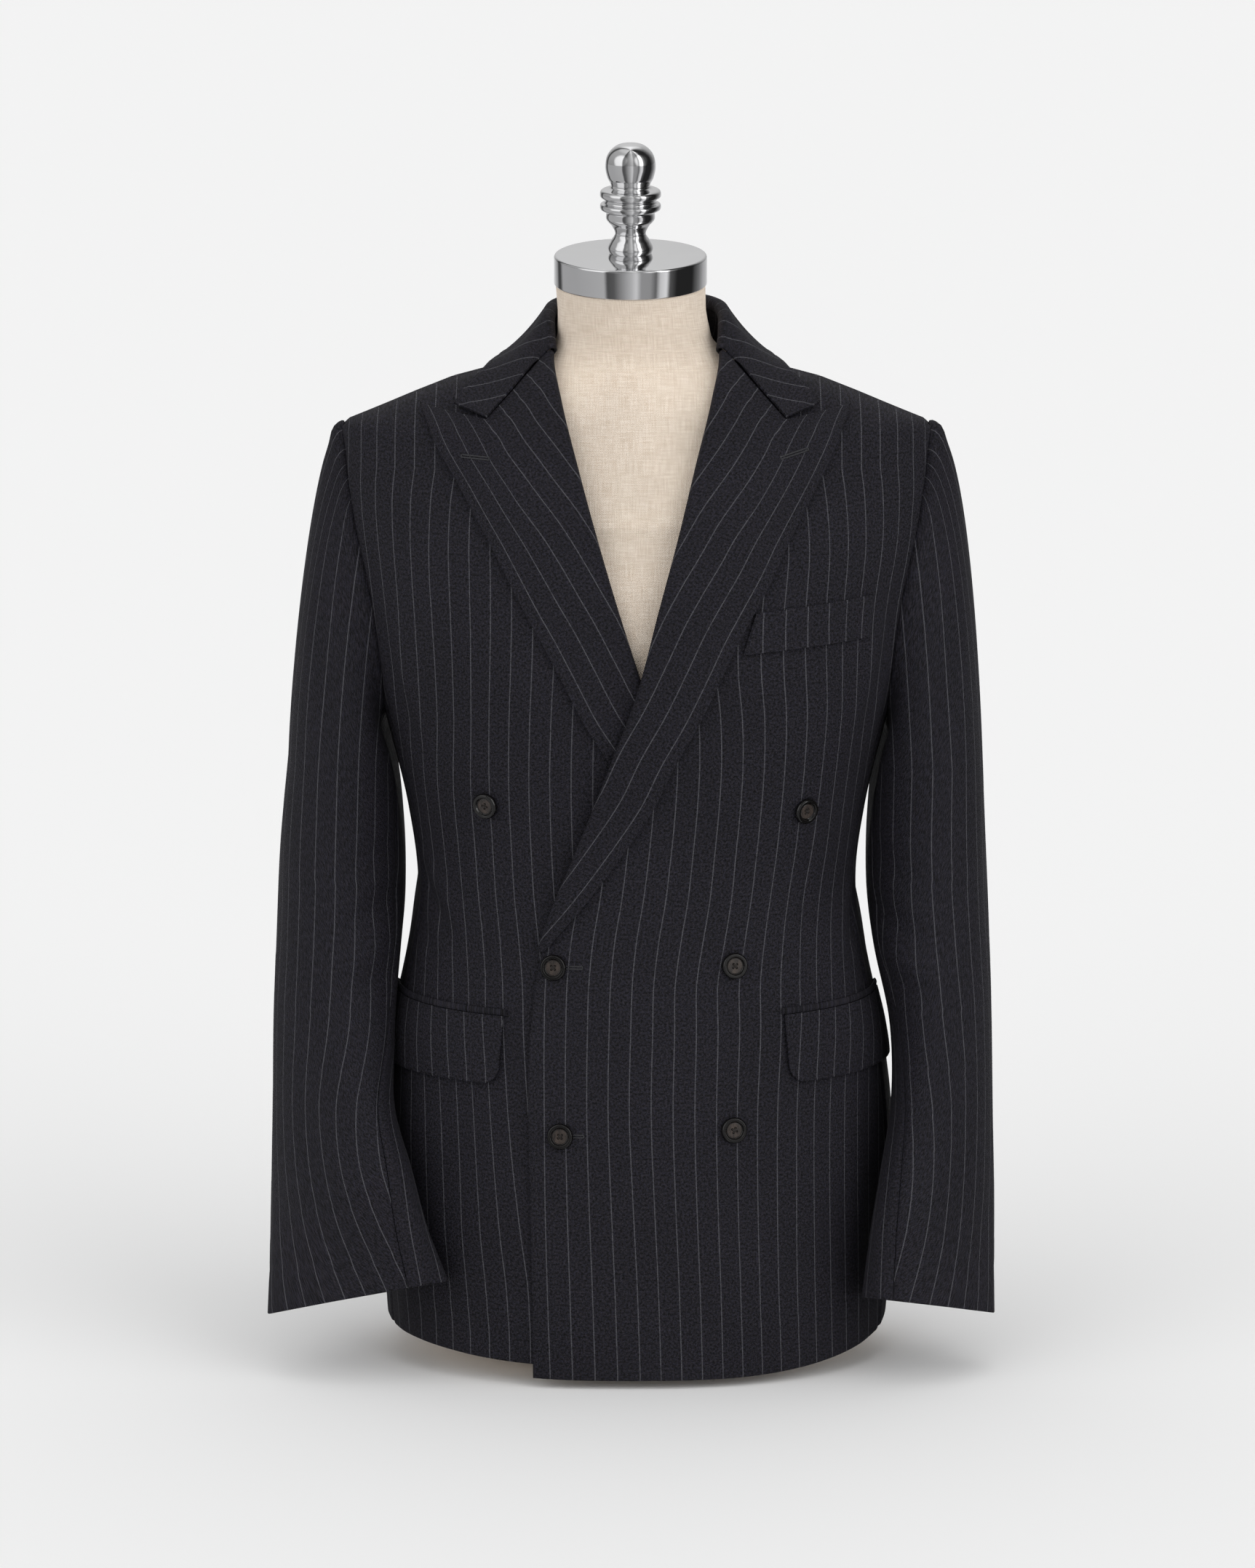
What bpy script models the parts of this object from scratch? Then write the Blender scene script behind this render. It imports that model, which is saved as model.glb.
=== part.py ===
"""A double-breasted suit jacket on a limbless dress form.

Metres, +Z up. The front faces -Y, +X is the wearer's left, and the origin is
the middle of the form's flat base. The jacket's body is one surface of
flattened rings: every panel is a stretch of it, and the lapels, collar,
pockets and buttons are the same points moved out.
"""
import math

import bmesh
import bpy
import numpy as np

CLOTH = 0.002            # a panel's wall
SEAM_GAP = 0.00032       # kept between two pieces at a seam
FOLD_RADIUS = 0.0026     # the lapel's and the collar's roll, at mid wall
LEAF_LIFT = 0.0038       # outer face of a lapel's free edge over its front
COLLAR_LIFT = 0.0044     # and of the collar's
FOLD_SHARE = 0.22        # share of a lapel's or the collar's columns in its fold
COLLAR_DIP = 0.0060      # how hollow the collar's fall is over the shoulder
COLLAR_BLEND = 0.36      # share of the collar that runs into the gorge's line
LAP_REACH = 0.0825       # half the width over which the fronts lap
LAP_RISE = 0.0030        # the left front's edge rides this far out
LAP_SINK = 0.0085        # and the right front goes this far in under it
SIDE_LEVEL, SIDE_TOP = 0.465, 0.500   # the side body's rows bend between these
NECK_HEIGHT = 0.780      # where the body ends and the collar's stand begins
SHOULDER_Z = 0.7285      # the shoulder point
HEM_BLEND = 0.120        # the hem's curve fades out over this height
FRONT_SEAM = 72.0        # degrees round from centre front to the side body
BACK_SEAM = 118.0
BUTTON_RADIUS = 0.0101
BUTTON_THICK = 0.0038
FORM_INSET = 0.0145      # the form lies this far inside the cloth's outer face
FORM_TUCK = 0.052        # and draws in this much more at its base, over
FORM_TUCK_HEIGHT = 0.045
NECK_LEAN = math.radians(7.0)
CAP_CENTRE = (-0.0046, -0.0120, 0.8585)
CAP_RADIUS = 0.0584
CAP_RIM = 0.0225         # height of the cap's side
CAP_ROUND = 0.002
CAP_CROWN = 0.0012       # rise of its top towards the middle

LEFT, RIGHT = 1, -1      # the wearer's left front laps over the right one


class Table:
    """Rows of sizes with named columns, joined by a smooth cubic."""

    def __init__(self, columns, rows):
        self.names = columns.split()
        self.rows = np.array(rows, float)

    def at(self, name, where):
        """The named column where the first column has this value."""
        key, value = self.rows[:, 0], self.rows[:, self.names.index(name)]
        where = np.clip(np.asarray(where, float), key[0], key[-1])
        step = np.diff(key)
        rise = np.diff(value) / step
        slope = np.empty_like(value)
        slope[0], slope[-1] = rise[0], rise[-1]
        slope[1:-1] = (rise[:-1] * step[1:] + rise[1:] * step[:-1]) / (step[1:] + step[:-1])
        i = np.clip(np.searchsorted(key, where, side="right") - 1, 0, len(step) - 1)
        t = (where - key[i]) / step[i]
        return ((2 * t**3 - 3 * t**2 + 1) * value[i] + (t**3 - 2 * t**2 + t) * step[i] * slope[i]
                + (3 * t**2 - 2 * t**3) * value[i + 1] + (t**3 - t**2) * step[i] * slope[i + 1])


BODY = Table("height half_width front back squareness", (
    (0.000, 0.1945, 0.150, 0.124, 2.25),
    (0.060, 0.1985, 0.151, 0.128, 2.28),
    (0.130, 0.2010, 0.150, 0.130, 2.30),
    (0.200, 0.1985, 0.146, 0.128, 2.30),
    (0.260, 0.1910, 0.140, 0.119, 2.28),
    (0.320, 0.1785, 0.133, 0.107, 2.25),
    (0.370, 0.1708, 0.129, 0.101, 2.22),
    (0.430, 0.1772, 0.131, 0.106, 2.25),
    (0.490, 0.1910, 0.136, 0.117, 2.35),
    (0.550, 0.2065, 0.138, 0.127, 2.40),
    (0.610, 0.2165, 0.130, 0.131, 2.30),
    (0.660, 0.2240, 0.114, 0.126, 2.20),
    (0.700, 0.2270, 0.094, 0.113, 2.10),
    (0.7285, 0.2270, 0.080, 0.101, 2.05),
    (0.755, 0.2270, 0.066, 0.086, 2.00),
    (0.790, 0.2270, 0.054, 0.072, 2.00),
))

SHOULDER = Table("height half_width", (
    (0.7285, 0.2270),
    (0.7396, 0.1995),
    (0.7509, 0.1725),
    (0.7621, 0.1450),
    (0.7700, 0.1150),
    (0.7770, 0.0920),
    (0.7850, 0.0790),
    (0.7950, 0.0710),
))

# The front's edge up to the lower button, then its roll line, as distance
# from the centre line towards the front's own side.
FRONT_EDGE = Table("height over under", (
    (0.000, -0.0787, -0.0787),
    (0.120, -0.0802, -0.0802),
    (0.200, -0.0820, -0.0820),
    (0.260, -0.0815, -0.0815),
    (0.300, -0.0780, -0.0780),
    (0.338, -0.0712, -0.0712),
    (0.360, -0.0643, -0.0643),
    (0.406, -0.0464, -0.0470),
    (0.479, -0.0182, -0.0215),
    (0.538, 0.0035, -0.0030),
    (0.600, 0.0200, 0.0168),
    (0.653, 0.0345, 0.0327),
    (0.702, 0.0468, 0.0466),
    (0.750, 0.0592, 0.0592),
    (0.780, 0.0650, 0.0650),
    (0.790, 0.0655, 0.0655),
))

# The lapel's free edge, measured the same way.
LEAF_EDGE = Table("height over under", (
    (0.338, -0.0690, -0.0690),
    (0.372, -0.0414, -0.0430),
    (0.412, -0.0123, -0.0160),
    (0.452, 0.0137, 0.0060),
    (0.480, 0.0270, 0.0182),
    (0.513, 0.0454, 0.0384),
    (0.548, 0.0626, 0.0560),
    (0.575, 0.0755, 0.0700),
    (0.596, 0.0870, 0.0820),
    (0.623, 0.1020, 0.0965),
    (0.650, 0.1150, 0.1110),
    (0.672, 0.1270, 0.1240),
    (0.691, 0.1375, 0.1350),
    (0.719, 0.1515, 0.1520),
    (0.736, 0.1588, 0.1600),
    (0.744, 0.1625, 0.1640),
))

# From the roll line out along the gorge seam to the notch, then the lapel's
# peak and the collar's point.
GORGE = ((0.0655, 0.7850), (0.0892, 0.7620), (0.1126, 0.7372))
GORGE_GAP = np.array([0.0009, 0.0012])   # the lapel stops this short of the collar
LAPEL_LOW, LAPEL_TOP = 0.338, GORGE[0][1] - GORGE_GAP[1]
PEAK = (0.1625, 0.7450)
COLLAR_POINT = (0.1376, 0.7455)

HEM = Table("turn over under", (
    (-40.0, 0.0085, 0.0165),
    (0.0, 0.0068, 0.0165),
    (30.0, 0.0078, 0.0185),
    (60.0, 0.0165, 0.0235),
    (90.0, 0.0280, 0.0280),
    (135.0, 0.0230, 0.0230),
    (180.0, 0.0200, 0.0200),
))

# The armhole, all round from the shoulder point over the front.
ARMHOLE = Table("round height turn", (
    (-20.0, 0.7120, 98.5),
    (0.0, 0.7285, 90.0),
    (20.0, 0.7120, 81.0),
    (40.0, 0.6830, 76.5),
    (60.0, 0.6480, 72.5),
    (80.0, 0.6100, 68.5),
    (100.0, 0.5730, 66.8),
    (120.0, 0.5450, 68.0),
    (140.0, 0.5220, 73.0),
    (160.0, 0.5090, 82.0),
    (180.0, 0.5050, 93.0),
    (200.0, 0.5090, 105.0),
    (220.0, 0.5240, 115.5),
    (240.0, 0.5480, 121.0),
    (260.0, 0.5800, 122.3),
    (280.0, 0.6160, 120.8),
    (300.0, 0.6500, 116.0),
    (320.0, 0.6840, 108.0),
    (340.0, 0.7120, 98.5),
    (360.0, 0.7285, 90.0),
    (380.0, 0.7120, 81.0),
))

SLEEVE_COLUMNS = "down height mid_x mid_y half_width half_depth swing tilt_x tilt_y"
SLEEVES = {
    LEFT: Table(SLEEVE_COLUMNS, (
        (0.00, 0.470, 0.2229, 0.002, 0.0458, 0.076, 0.000, 0.00, 0.00),
        (0.17, 0.400, 0.2245, 0.002, 0.0476, 0.072, 0.000, 0.00, 0.00),
        (0.34, 0.330, 0.2281, -0.006, 0.0473, 0.070, 0.004, 0.00, -0.05),
        (0.51, 0.260, 0.2364, -0.022, 0.0407, 0.069, 0.008, 0.00, -0.12),
        (0.65, 0.200, 0.2370, -0.042, 0.0411, 0.064, 0.020, -0.03, -0.18),
        (0.77, 0.150, 0.2332, -0.062, 0.0456, 0.058, 0.028, -0.06, -0.22),
        (0.89, 0.100, 0.2289, -0.080, 0.0496, 0.052, 0.028, -0.10, -0.25),
        (1.00, 0.052, 0.2257, -0.094, 0.0526, 0.046, 0.020, -0.12, -0.27),
    )),
    RIGHT: Table(SLEEVE_COLUMNS, (
        (0.00, 0.470, 0.2256, 0.002, 0.0447, 0.076, 0.000, 0.00, 0.00),
        (0.17, 0.400, 0.2282, 0.002, 0.0492, 0.072, 0.000, 0.00, 0.00),
        (0.34, 0.330, 0.2303, -0.008, 0.0506, 0.068, 0.004, 0.00, -0.05),
        (0.51, 0.260, 0.2329, -0.027, 0.0504, 0.064, 0.012, 0.00, -0.12),
        (0.65, 0.200, 0.2350, -0.050, 0.0491, 0.058, 0.028, -0.05, -0.18),
        (0.77, 0.152, 0.2285, -0.072, 0.0558, 0.050, 0.033, -0.10, -0.22),
        (0.89, 0.104, 0.2222, -0.094, 0.0625, 0.038, 0.025, -0.15, -0.25),
        (1.00, 0.0630, 0.2144, -0.112, 0.0708, 0.026, 0.010, -0.185, -0.27),
    )),
}
SLEEVE_SPRING = {LEFT: 0.034, RIGHT: 0.010}   # how much rounder the cap is outside
SLEEVE_CAP = 0.36        # share of a sleeve's rows above the upper arm
SEAM_GAP_ANGLE = SEAM_GAP / 2 / 0.030   # half a seam gap round a slim cuff
# Where the sleeve's two seams lie round it, at the armhole and going down.
SLEEVE_SEAMS = Table("along fore hind", (
    (0.00, 150.0, 250.0),
    (0.36, 152.0, 245.0),
    (0.70, 146.0, 240.0),
    (0.85, 133.0, 236.0),
    (1.00, 124.0, 232.0),
))
SLEEVE_CLEAR = 0.0055    # a sleeve that touches the body stays this far off it

# The collar's fold, and where on the body its free edge lies, from the gorge
# to the centre back.
COLLAR = Table("around fold_x fold_y fold_z leaf_turn leaf_height", (
    (0.00, 0.0655, -0.0315, 0.7850, 48.0, 0.7455),
    (0.12, 0.0665, -0.0240, 0.7935, 51.4, 0.7530),
    (0.25, 0.0668, -0.0130, 0.8025, 61.0, 0.7640),
    (0.42, 0.0665, 0.0020, 0.8090, 83.5, 0.7712),
    (0.60, 0.0610, 0.0260, 0.8140, 112.0, 0.7725),
    (0.80, 0.0400, 0.0520, 0.8165, 143.0, 0.7725),
    (1.00, 0.0000, 0.0630, 0.8170, 180.0, 0.7720),
))
STAND_REACH = 0.90       # how far round to the gorge the collar's stand runs
STAND_TOP = 0.925        # share of the way up to the fold where it ends

# Pocket corners on the front, as distance from the centre line and height.
WELT = ((0.0895, 0.5985), (0.0800, 0.5680), (0.1770, 0.5755), (0.1800, 0.6070))
FLAP_TOP, FLAP_BOTTOM = 0.2872, 0.2350
FLAP_FRONT = {LEFT: 0.1123, RIGHT: 0.1010}
FLAP_END_TURN = 86.0
FLAP_ROUND = 0.013
JET_HEIGHT = 0.0052

BUTTONS = (              # side, distance from the centre line, height
    ("upper_left", LEFT, 0.1285, 0.4429),
    ("upper_right", RIGHT, 0.1143, 0.4487),
    ("middle_left", LEFT, 0.0744, 0.3270),
    ("middle_right", LEFT, -0.0624, 0.3265),
    ("lower_left", LEFT, 0.0741, 0.2023),
    ("lower_right", LEFT, -0.0576, 0.1985),
)
BUTTON_PROFILE = (       # share of the radius, share of the thickness
    (0.00, 0.00), (0.86, 0.00), (1.00, 0.45), (0.95, 0.92), (0.84, 1.00), (0.66, 0.62),
    (0.00, 0.55),
)

FORM = Table("height half_width front back middle_y", (
    (0.660, 0.2000, 0.0995, 0.1115, 0.000),
    (0.700, 0.1970, 0.0820, 0.1000, 0.000),
    (0.722, 0.1920, 0.0720, 0.0900, 0.000),
    (0.744, 0.1822, 0.0642, 0.0826, 0.000),
    (0.762, 0.1345, 0.0550, 0.0740, 0.000),
    (0.770, 0.1020, 0.0500, 0.0690, 0.000),
    (0.778, 0.0780, 0.0470, 0.0640, 0.000),
    (0.790, 0.0620, 0.0470, 0.0590, -0.002),
    (0.804, 0.0580, 0.0510, 0.0560, -0.005),
    (0.818, 0.0565, 0.0540, 0.0550, -0.008),
))
FINIAL_PROFILE = (       # radius, height above the cap
    (0.0000, 0.0000), (0.0160, 0.0000), (0.0172, 0.0037), (0.0150, 0.0093), (0.0118, 0.0153),
    (0.0140, 0.0208), (0.0186, 0.0268), (0.0190, 0.0324), (0.0229, 0.0344), (0.0229, 0.0379),
    (0.0200, 0.0396), (0.0200, 0.0421), (0.0230, 0.0439), (0.0230, 0.0476), (0.0150, 0.0518),
    (0.0178, 0.0592), (0.0192, 0.0671), (0.0170, 0.0768), (0.0100, 0.0833), (0.0000, 0.0849),
)


# Where each surface has its rows and columns.
LOW_ROWS = (0.0, 0.03, 0.075, 0.13, 0.20, 0.245, 0.2875, 0.315, 0.338, 0.352, 0.368, 0.390,
            0.43, SIDE_LEVEL)
HIGH_ROWS = (0.488, 0.512, 0.535, 0.562, 0.595, 0.630, 0.665, 0.695, 0.716, SHOULDER_Z,
             0.740, 0.751, 0.762, 0.770, NECK_HEIGHT)
PANEL_ROWS = np.array(LOW_ROWS + HIGH_ROWS) / NECK_HEIGHT
SIDE_ROWS = np.array(LOW_ROWS + (SIDE_TOP,)) / SIDE_TOP
LAPEL_UP = np.array([h for h in LOW_ROWS + HIGH_ROWS if h >= LAPEL_LOW] + [LAPEL_TOP])
LAPEL_UP = (LAPEL_UP - LAPEL_LOW) / (LAPEL_TOP - LAPEL_LOW)
LAPEL_LEAF = (0.14, 0.28, 0.42, 0.56, 0.70, 0.85, 1.0)
COLLAR_LEAF = (0.18, 0.36, 0.54, 0.72, 0.86, 1.0)
SLEEVE_ROWS = np.concatenate([np.array([0.0, 0.07, 0.18, 0.34, 0.55, 0.78, 1.0]) * SLEEVE_CAP,
                              SLEEVE_CAP + (1 - SLEEVE_CAP) * np.linspace(0.1, 1.0, 10)])
FLAP_ROWS = (0.0, 0.35, 0.7, 0.8, 0.9, 0.97, 1.0)


def columns(count):
    return np.linspace(0.0, 1.0, count + 1)


def fold_and_leaf(leaf):
    """Even steps round the fold, then the leaf's own."""
    return np.concatenate([np.linspace(0.0, FOLD_SHARE, 5),
                           FOLD_SHARE + (1.0 - FOLD_SHARE) * np.array(leaf)])


def smooth(t):
    """Rises from 0 to 1 with no corner at either end."""
    t = np.clip(t, 0.0, 1.0)
    return t * t * (3.0 - 2.0 * t)


def unit(v):
    return v / np.maximum(np.linalg.norm(v, axis=-1, keepdims=True), 1e-12)


def ring(height):
    """Half width, front depth, back depth and squareness at a height."""
    width = np.minimum(BODY.at("half_width", height), SHOULDER.at("half_width", height))
    return width, BODY.at("front", height), BODY.at("back", height), BODY.at("squareness", height)


def body_face(height, turn):
    """A point of the jacket's outer face, turn in radians from centre front."""
    width, front, back, square = ring(height)
    s, c = np.sin(turn), np.cos(turn)
    q = (np.abs(s) ** square + np.abs(c) ** square) ** (1.0 / square)
    depth = np.where(c > 0, front, back)
    return np.stack([width * s / q, -depth * c / q, np.asarray(height) + 0.0 * s], axis=-1)


def body(height, turn, out=0.0):
    """The same point moved out along the face's normal."""
    e = 1e-3
    round_step = body_face(height, turn + e) - body_face(height, turn - e)
    up_step = body_face(height + e, turn) - body_face(height - e, turn)
    normal = unit(np.cross(round_step, up_step))
    return body_face(height, turn) + normal * np.asarray(out)[..., None]


def turn_at(height, x):
    """How far round the front a distance from the centre line lies."""
    width, _, _, square = ring(height)
    share = np.clip(np.abs(x) / width, 0.0, 1.0)
    return np.sign(x) * np.arctan2(share, (1.0 - share**square) ** (1.0 / square))


def gap_turn(height, turn, gap=SEAM_GAP / 2):
    """The turn that a seam's half gap takes up here."""
    speed = np.linalg.norm(body_face(height, turn + 1e-3) - body_face(height, turn - 1e-3), axis=-1)
    return gap * 2e-3 / speed


def lap_lift(side, x, height):
    """How far a front rises or sinks where one laps over the other."""
    if side == LEFT:
        return LAP_RISE * (1.0 - smooth((x + LAP_REACH) / LAP_REACH))
    return -LAP_SINK * smooth((LAP_REACH - x) / LAP_REACH) * (1.0 - smooth((height - 0.590) / 0.110))


def on_front(side, x, height, out=0.0):
    """A point on a front, x from the centre line towards its own side."""
    turn = turn_at(height, x)
    return body(height, turn, lap_lift(side, x, height) + out) * np.array([side, 1.0, 1.0])


def armhole_border(fore):
    """Heights going up and turns of the armhole's front or back half."""
    angle = np.linspace(0.0, 180.0, 181) if fore else np.linspace(360.0, 180.0, 181)
    height = ARMHOLE.at("height", angle)[::-1]
    turn = np.radians(ARMHOLE.at("turn", angle))[::-1]
    return height, turn


def outer_border(height, fore):
    """Side seam, armhole, then shoulder seam: a panel's outer border."""
    heights, turns = armhole_border(fore)
    seam = math.radians(FRONT_SEAM if fore else BACK_SEAM)
    above = turns <= seam if fore else turns >= seam
    start = int(np.argmax(above))
    return np.interp(height, heights[start:], turns[start:], left=seam, right=math.pi / 2)


def hem_raise(name, height, turn):
    return HEM.at(name, np.degrees(turn)) * (1.0 - smooth(height / HEM_BLEND))


def front_panel(side):
    """A front, from its edge and roll line to the side seam and armhole."""
    name = "over" if side == LEFT else "under"

    def face(u, v):
        height = u * NECK_HEIGHT
        inner = turn_at(height, FRONT_EDGE.at(name, height))
        outer = outer_border(height, True)
        inner = inner + gap_turn(height, inner)
        outer = outer - gap_turn(height, outer)
        turn = inner + (outer - inner) * v
        height = height + hem_raise(name, height, turn)
        x = body_face(height, turn)[..., 0]
        point = body(height, turn, lap_lift(side, x, height))
        return point * np.array([side, 1.0, 1.0])

    return face


def side_panel(side):
    """The side body, from the hem to the foot of the armhole."""
    name = "over" if side == LEFT else "under"
    angle = np.linspace(120.0, 250.0, 131)
    foot_turn = np.radians(ARMHOLE.at("turn", angle))
    foot_height = ARMHOLE.at("height", angle) - SEAM_GAP / 2

    def face(u, v):
        start, end = math.radians(FRONT_SEAM), math.radians(BACK_SEAM)
        height = u * SIDE_TOP
        start = start + gap_turn(height, start)
        end = end - gap_turn(height, end)
        turn = start + (end - start) * v
        top = np.interp(turn, foot_turn, foot_height)
        climb = np.clip((height - SIDE_LEVEL) / (SIDE_TOP - SIDE_LEVEL), 0.0, 1.0)
        height = np.minimum(height, SIDE_LEVEL) + (top - SIDE_LEVEL) * climb
        height = height + hem_raise(name, height, turn)
        return body(height, turn) * np.array([side, 1.0, 1.0])

    return face


def back_panel(side):
    """Half the back, from side seam and armhole to the centre back seam."""
    def face(u, v):
        height = u * NECK_HEIGHT
        outer = outer_border(height, False)
        outer = outer + gap_turn(height, outer)
        centre = math.pi - gap_turn(height, np.full_like(height, math.pi))
        turn = outer + (centre - outer) * v
        height = height + hem_raise("over", height, turn)
        return body(height, turn) * np.array([side, 1.0, 1.0])

    return face


def fold_over(start, across, normal, share):
    """The outer face of a fold's half turn, from inside the cloth to over it."""
    angle = math.pi * share[..., None]
    reach = FOLD_RADIUS + CLOTH / 2
    rise = FOLD_RADIUS - CLOTH / 2 - reach * np.cos(angle)
    return start + normal * rise - across * reach * np.sin(angle)


def leaf_lift(u, free):
    """How far a turned leaf's outer face stands off the front, fold to edge."""
    return free + (2 * FOLD_RADIUS - free) * (1.0 - u) ** 1.6


def lapel_place(side, u, v):
    """Distance and height on the front of a place on the lapel's leaf."""
    name = "over" if side == LEFT else "under"
    roll_z = LAPEL_LOW + (LAPEL_TOP - LAPEL_LOW) * v
    roll_x = FRONT_EDGE.at(name, roll_z)
    leaf_z = LAPEL_LOW + (PEAK[1] - LAPEL_LOW) * v
    leaf_x = LEAF_EDGE.at(name, leaf_z)
    knots = np.array([0.0, 0.28, 0.56, 1.0])
    top = np.array([GORGE[0], GORGE[1], GORGE[2], PEAK]) - GORGE_GAP
    top_x = np.interp(u, knots, top[:, 0])
    top_z = np.interp(u, knots, top[:, 1])
    bend = smooth((v - 0.55) / 0.45)
    x = roll_x + (leaf_x - roll_x) * u
    z = roll_z + (leaf_z - roll_z) * u
    flat_x = top[0, 0] + (top[-1, 0] - top[0, 0]) * u
    flat_z = top[0, 1] + (top[-1, 1] - top[0, 1]) * u
    return x + bend * (top_x - flat_x), z + bend * (top_z - flat_z)


def lapel(side):
    """A peak lapel: the front turned over at its roll line, lying on it."""
    def leaf(u, v):
        x, z = lapel_place(side, u, v)
        return on_front(side, x, z, leaf_lift(u, LEAF_LIFT))

    def face(w, v):
        share = np.clip(w / FOLD_SHARE, 0.0, 1.0)
        u = np.clip((w - FOLD_SHARE) / (1.0 - FOLD_SHARE), 0.0, 1.0)
        x, z = lapel_place(side, 0.0 * v, v)
        start = on_front(side, x, z)
        x2, z2 = lapel_place(side, 0.0 * v + 0.02, v)
        across = unit(on_front(side, x2, z2) - start)
        normal = unit(on_front(side, x, z, 0.001) - start)
        fold = fold_over(start, across, normal, share)
        return np.where((w < FOLD_SHARE)[..., None], fold, leaf(u, v))

    return face


def mirrored(around):
    """Turns a point of the wearer's left to the side that around is on."""
    side = np.where(around < 0, -1.0, 1.0)
    return np.stack([side, np.ones_like(side), np.ones_like(side)], axis=-1)


def collar_fold(around):
    """The collar's fold line, around 0 at the centre back, 1 at the gorge."""
    near = 1.0 - np.abs(around)
    line = np.stack([COLLAR.at(name, near) for name in ("fold_x", "fold_y", "fold_z")], axis=-1)
    return line * mirrored(around)


def collar(w, v):
    """The collar's fall, from the fold's inside over and down to its edge."""
    around = 2.0 * v - 1.0
    near = 1.0 - np.abs(around)
    share = np.clip(w / FOLD_SHARE, 0.0, 1.0)
    u = np.clip((w - FOLD_SHARE) / (1.0 - FOLD_SHARE), 0.0, 1.0)
    fold = collar_fold(around)
    leaf = body(COLLAR.at("leaf_height", near), np.radians(COLLAR.at("leaf_turn", near)),
                np.full_like(near, COLLAR_LIFT)) * mirrored(around)
    down = unit(leaf - fold)
    along = collar_fold(np.clip(around + 1e-3, -1, 1)) - collar_fold(np.clip(around - 1e-3, -1, 1))
    normal = unit(np.cross(along, down))
    dip = COLLAR_DIP * np.sin(math.pi * u) * np.exp(-(((near - 0.42) / 0.14) ** 2))
    rise = 2 * FOLD_RADIUS * (1.0 - u) - dip
    fall = fold + (leaf - fold) * u[..., None] + normal * rise[..., None]
    knots = np.array([0.0, 0.36, 0.72, 1.0])
    gorge = np.array([GORGE[0], GORGE[1], GORGE[2], COLLAR_POINT])
    x, z = np.interp(u, knots, gorge[:, 0]), np.interp(u, knots, gorge[:, 1])
    tip = body(z, turn_at(z, x), leaf_lift(u, COLLAR_LIFT)) * mirrored(around)
    fall = fall + (1.0 - smooth(near / COLLAR_BLEND))[..., None] * (tip - fall)
    return np.where((w < FOLD_SHARE)[..., None], fold_over(fold, down, normal, share), fall)


def stand(w, v):
    """The collar's stand, from the neck seam up to the inside of the fold."""
    around = (2.0 * v - 1.0) * STAND_REACH
    first = turn_at(NECK_HEIGHT, GORGE[0][0])
    turn = first + (math.pi - first) * (1.0 - np.abs(around)) ** 0.9
    foot = body(np.full_like(turn, NECK_HEIGHT), turn) * mirrored(around)
    foot = foot + np.array([0.0, 0.0, 2 * SEAM_GAP])
    return foot + (collar_fold(around) - foot) * (STAND_TOP * w)[..., None]


def clear_of_body(point, weight):
    """Moves what presses into the body out to just clear of it."""
    width, front, back, square = ring(point[..., 2])
    depth = np.where(point[..., 1] < 0, front, back) + SLEEVE_CLEAR
    share = ((np.abs(point[..., 0]) / (width + SLEEVE_CLEAR)) ** square
             + (np.abs(point[..., 1]) / depth) ** square) ** (1.0 / square)
    soft = 0.5 * (share + 1.0 + np.sqrt((share - 1.0) ** 2 + 0.02**2))
    scale = 1.0 + weight * (soft / np.maximum(share, 0.2) - 1.0)
    return point * np.stack([scale, scale, np.ones_like(scale)], axis=-1)


def sleeve_tube(table, down, angle):
    """A ring of the sleeve, angle 0 outside, 90 degrees in front."""
    c, s = np.cos(angle), np.sin(angle)
    dx = table.at("half_width", down) * c
    dy = table.at("swing", down) * c - table.at("half_depth", down) * s
    rise = table.at("tilt_x", down) * dx + table.at("tilt_y", down) * dy
    return np.stack([table.at("mid_x", down) + dx, table.at("mid_y", down) + dy,
                     table.at("height", down) + rise], axis=-1)


def sleeve(side, along, angle):
    """The sleeve: its cap springs from the armhole and runs into the tube."""
    table = SLEEVES[side]
    degrees = np.degrees(angle) % 360.0
    turn, height = np.radians(ARMHOLE.at("turn", degrees)), ARMHOLE.at("height", degrees)
    hole = body(height, turn, SEAM_GAP)
    middle = np.array([hole[..., 0].mean(), 0.005, 0.612])
    toward = unit((middle - hole) * np.array([0.0, 1.0, 1.0]))
    hole = hole + toward * SEAM_GAP
    c, s = np.cos(angle), np.sin(angle)
    down = np.clip((along - SLEEVE_CAP) / (1.0 - SLEEVE_CAP), 0.0, 1.0)
    upper_arm = sleeve_tube(table, 0.0 * down, angle)
    drop = hole[..., 2] - upper_arm[..., 2]
    spring = np.stack([0.046 + SLEEVE_SPRING[side] * c, -0.020 * s, -0.022 + 0.026 * c], axis=-1)
    settle = np.stack([0.006 + 0.006 * c, 0.0 * c, -1.1 * drop], axis=-1)
    t = np.clip(along / SLEEVE_CAP, 0.0, 1.0)[..., None]
    cap = ((2 * t**3 - 3 * t**2 + 1) * hole + (t**3 - 2 * t**2 + t) * spring
           + (3 * t**2 - 2 * t**3) * upper_arm + (t**3 - t**2) * settle)
    tube = sleeve_tube(table, down, angle)
    point = np.where((along < SLEEVE_CAP)[..., None], cap, tube)
    point = clear_of_body(point, smooth((along - 0.02) / 0.20))
    return point * np.array([side, 1.0, 1.0])


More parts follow.
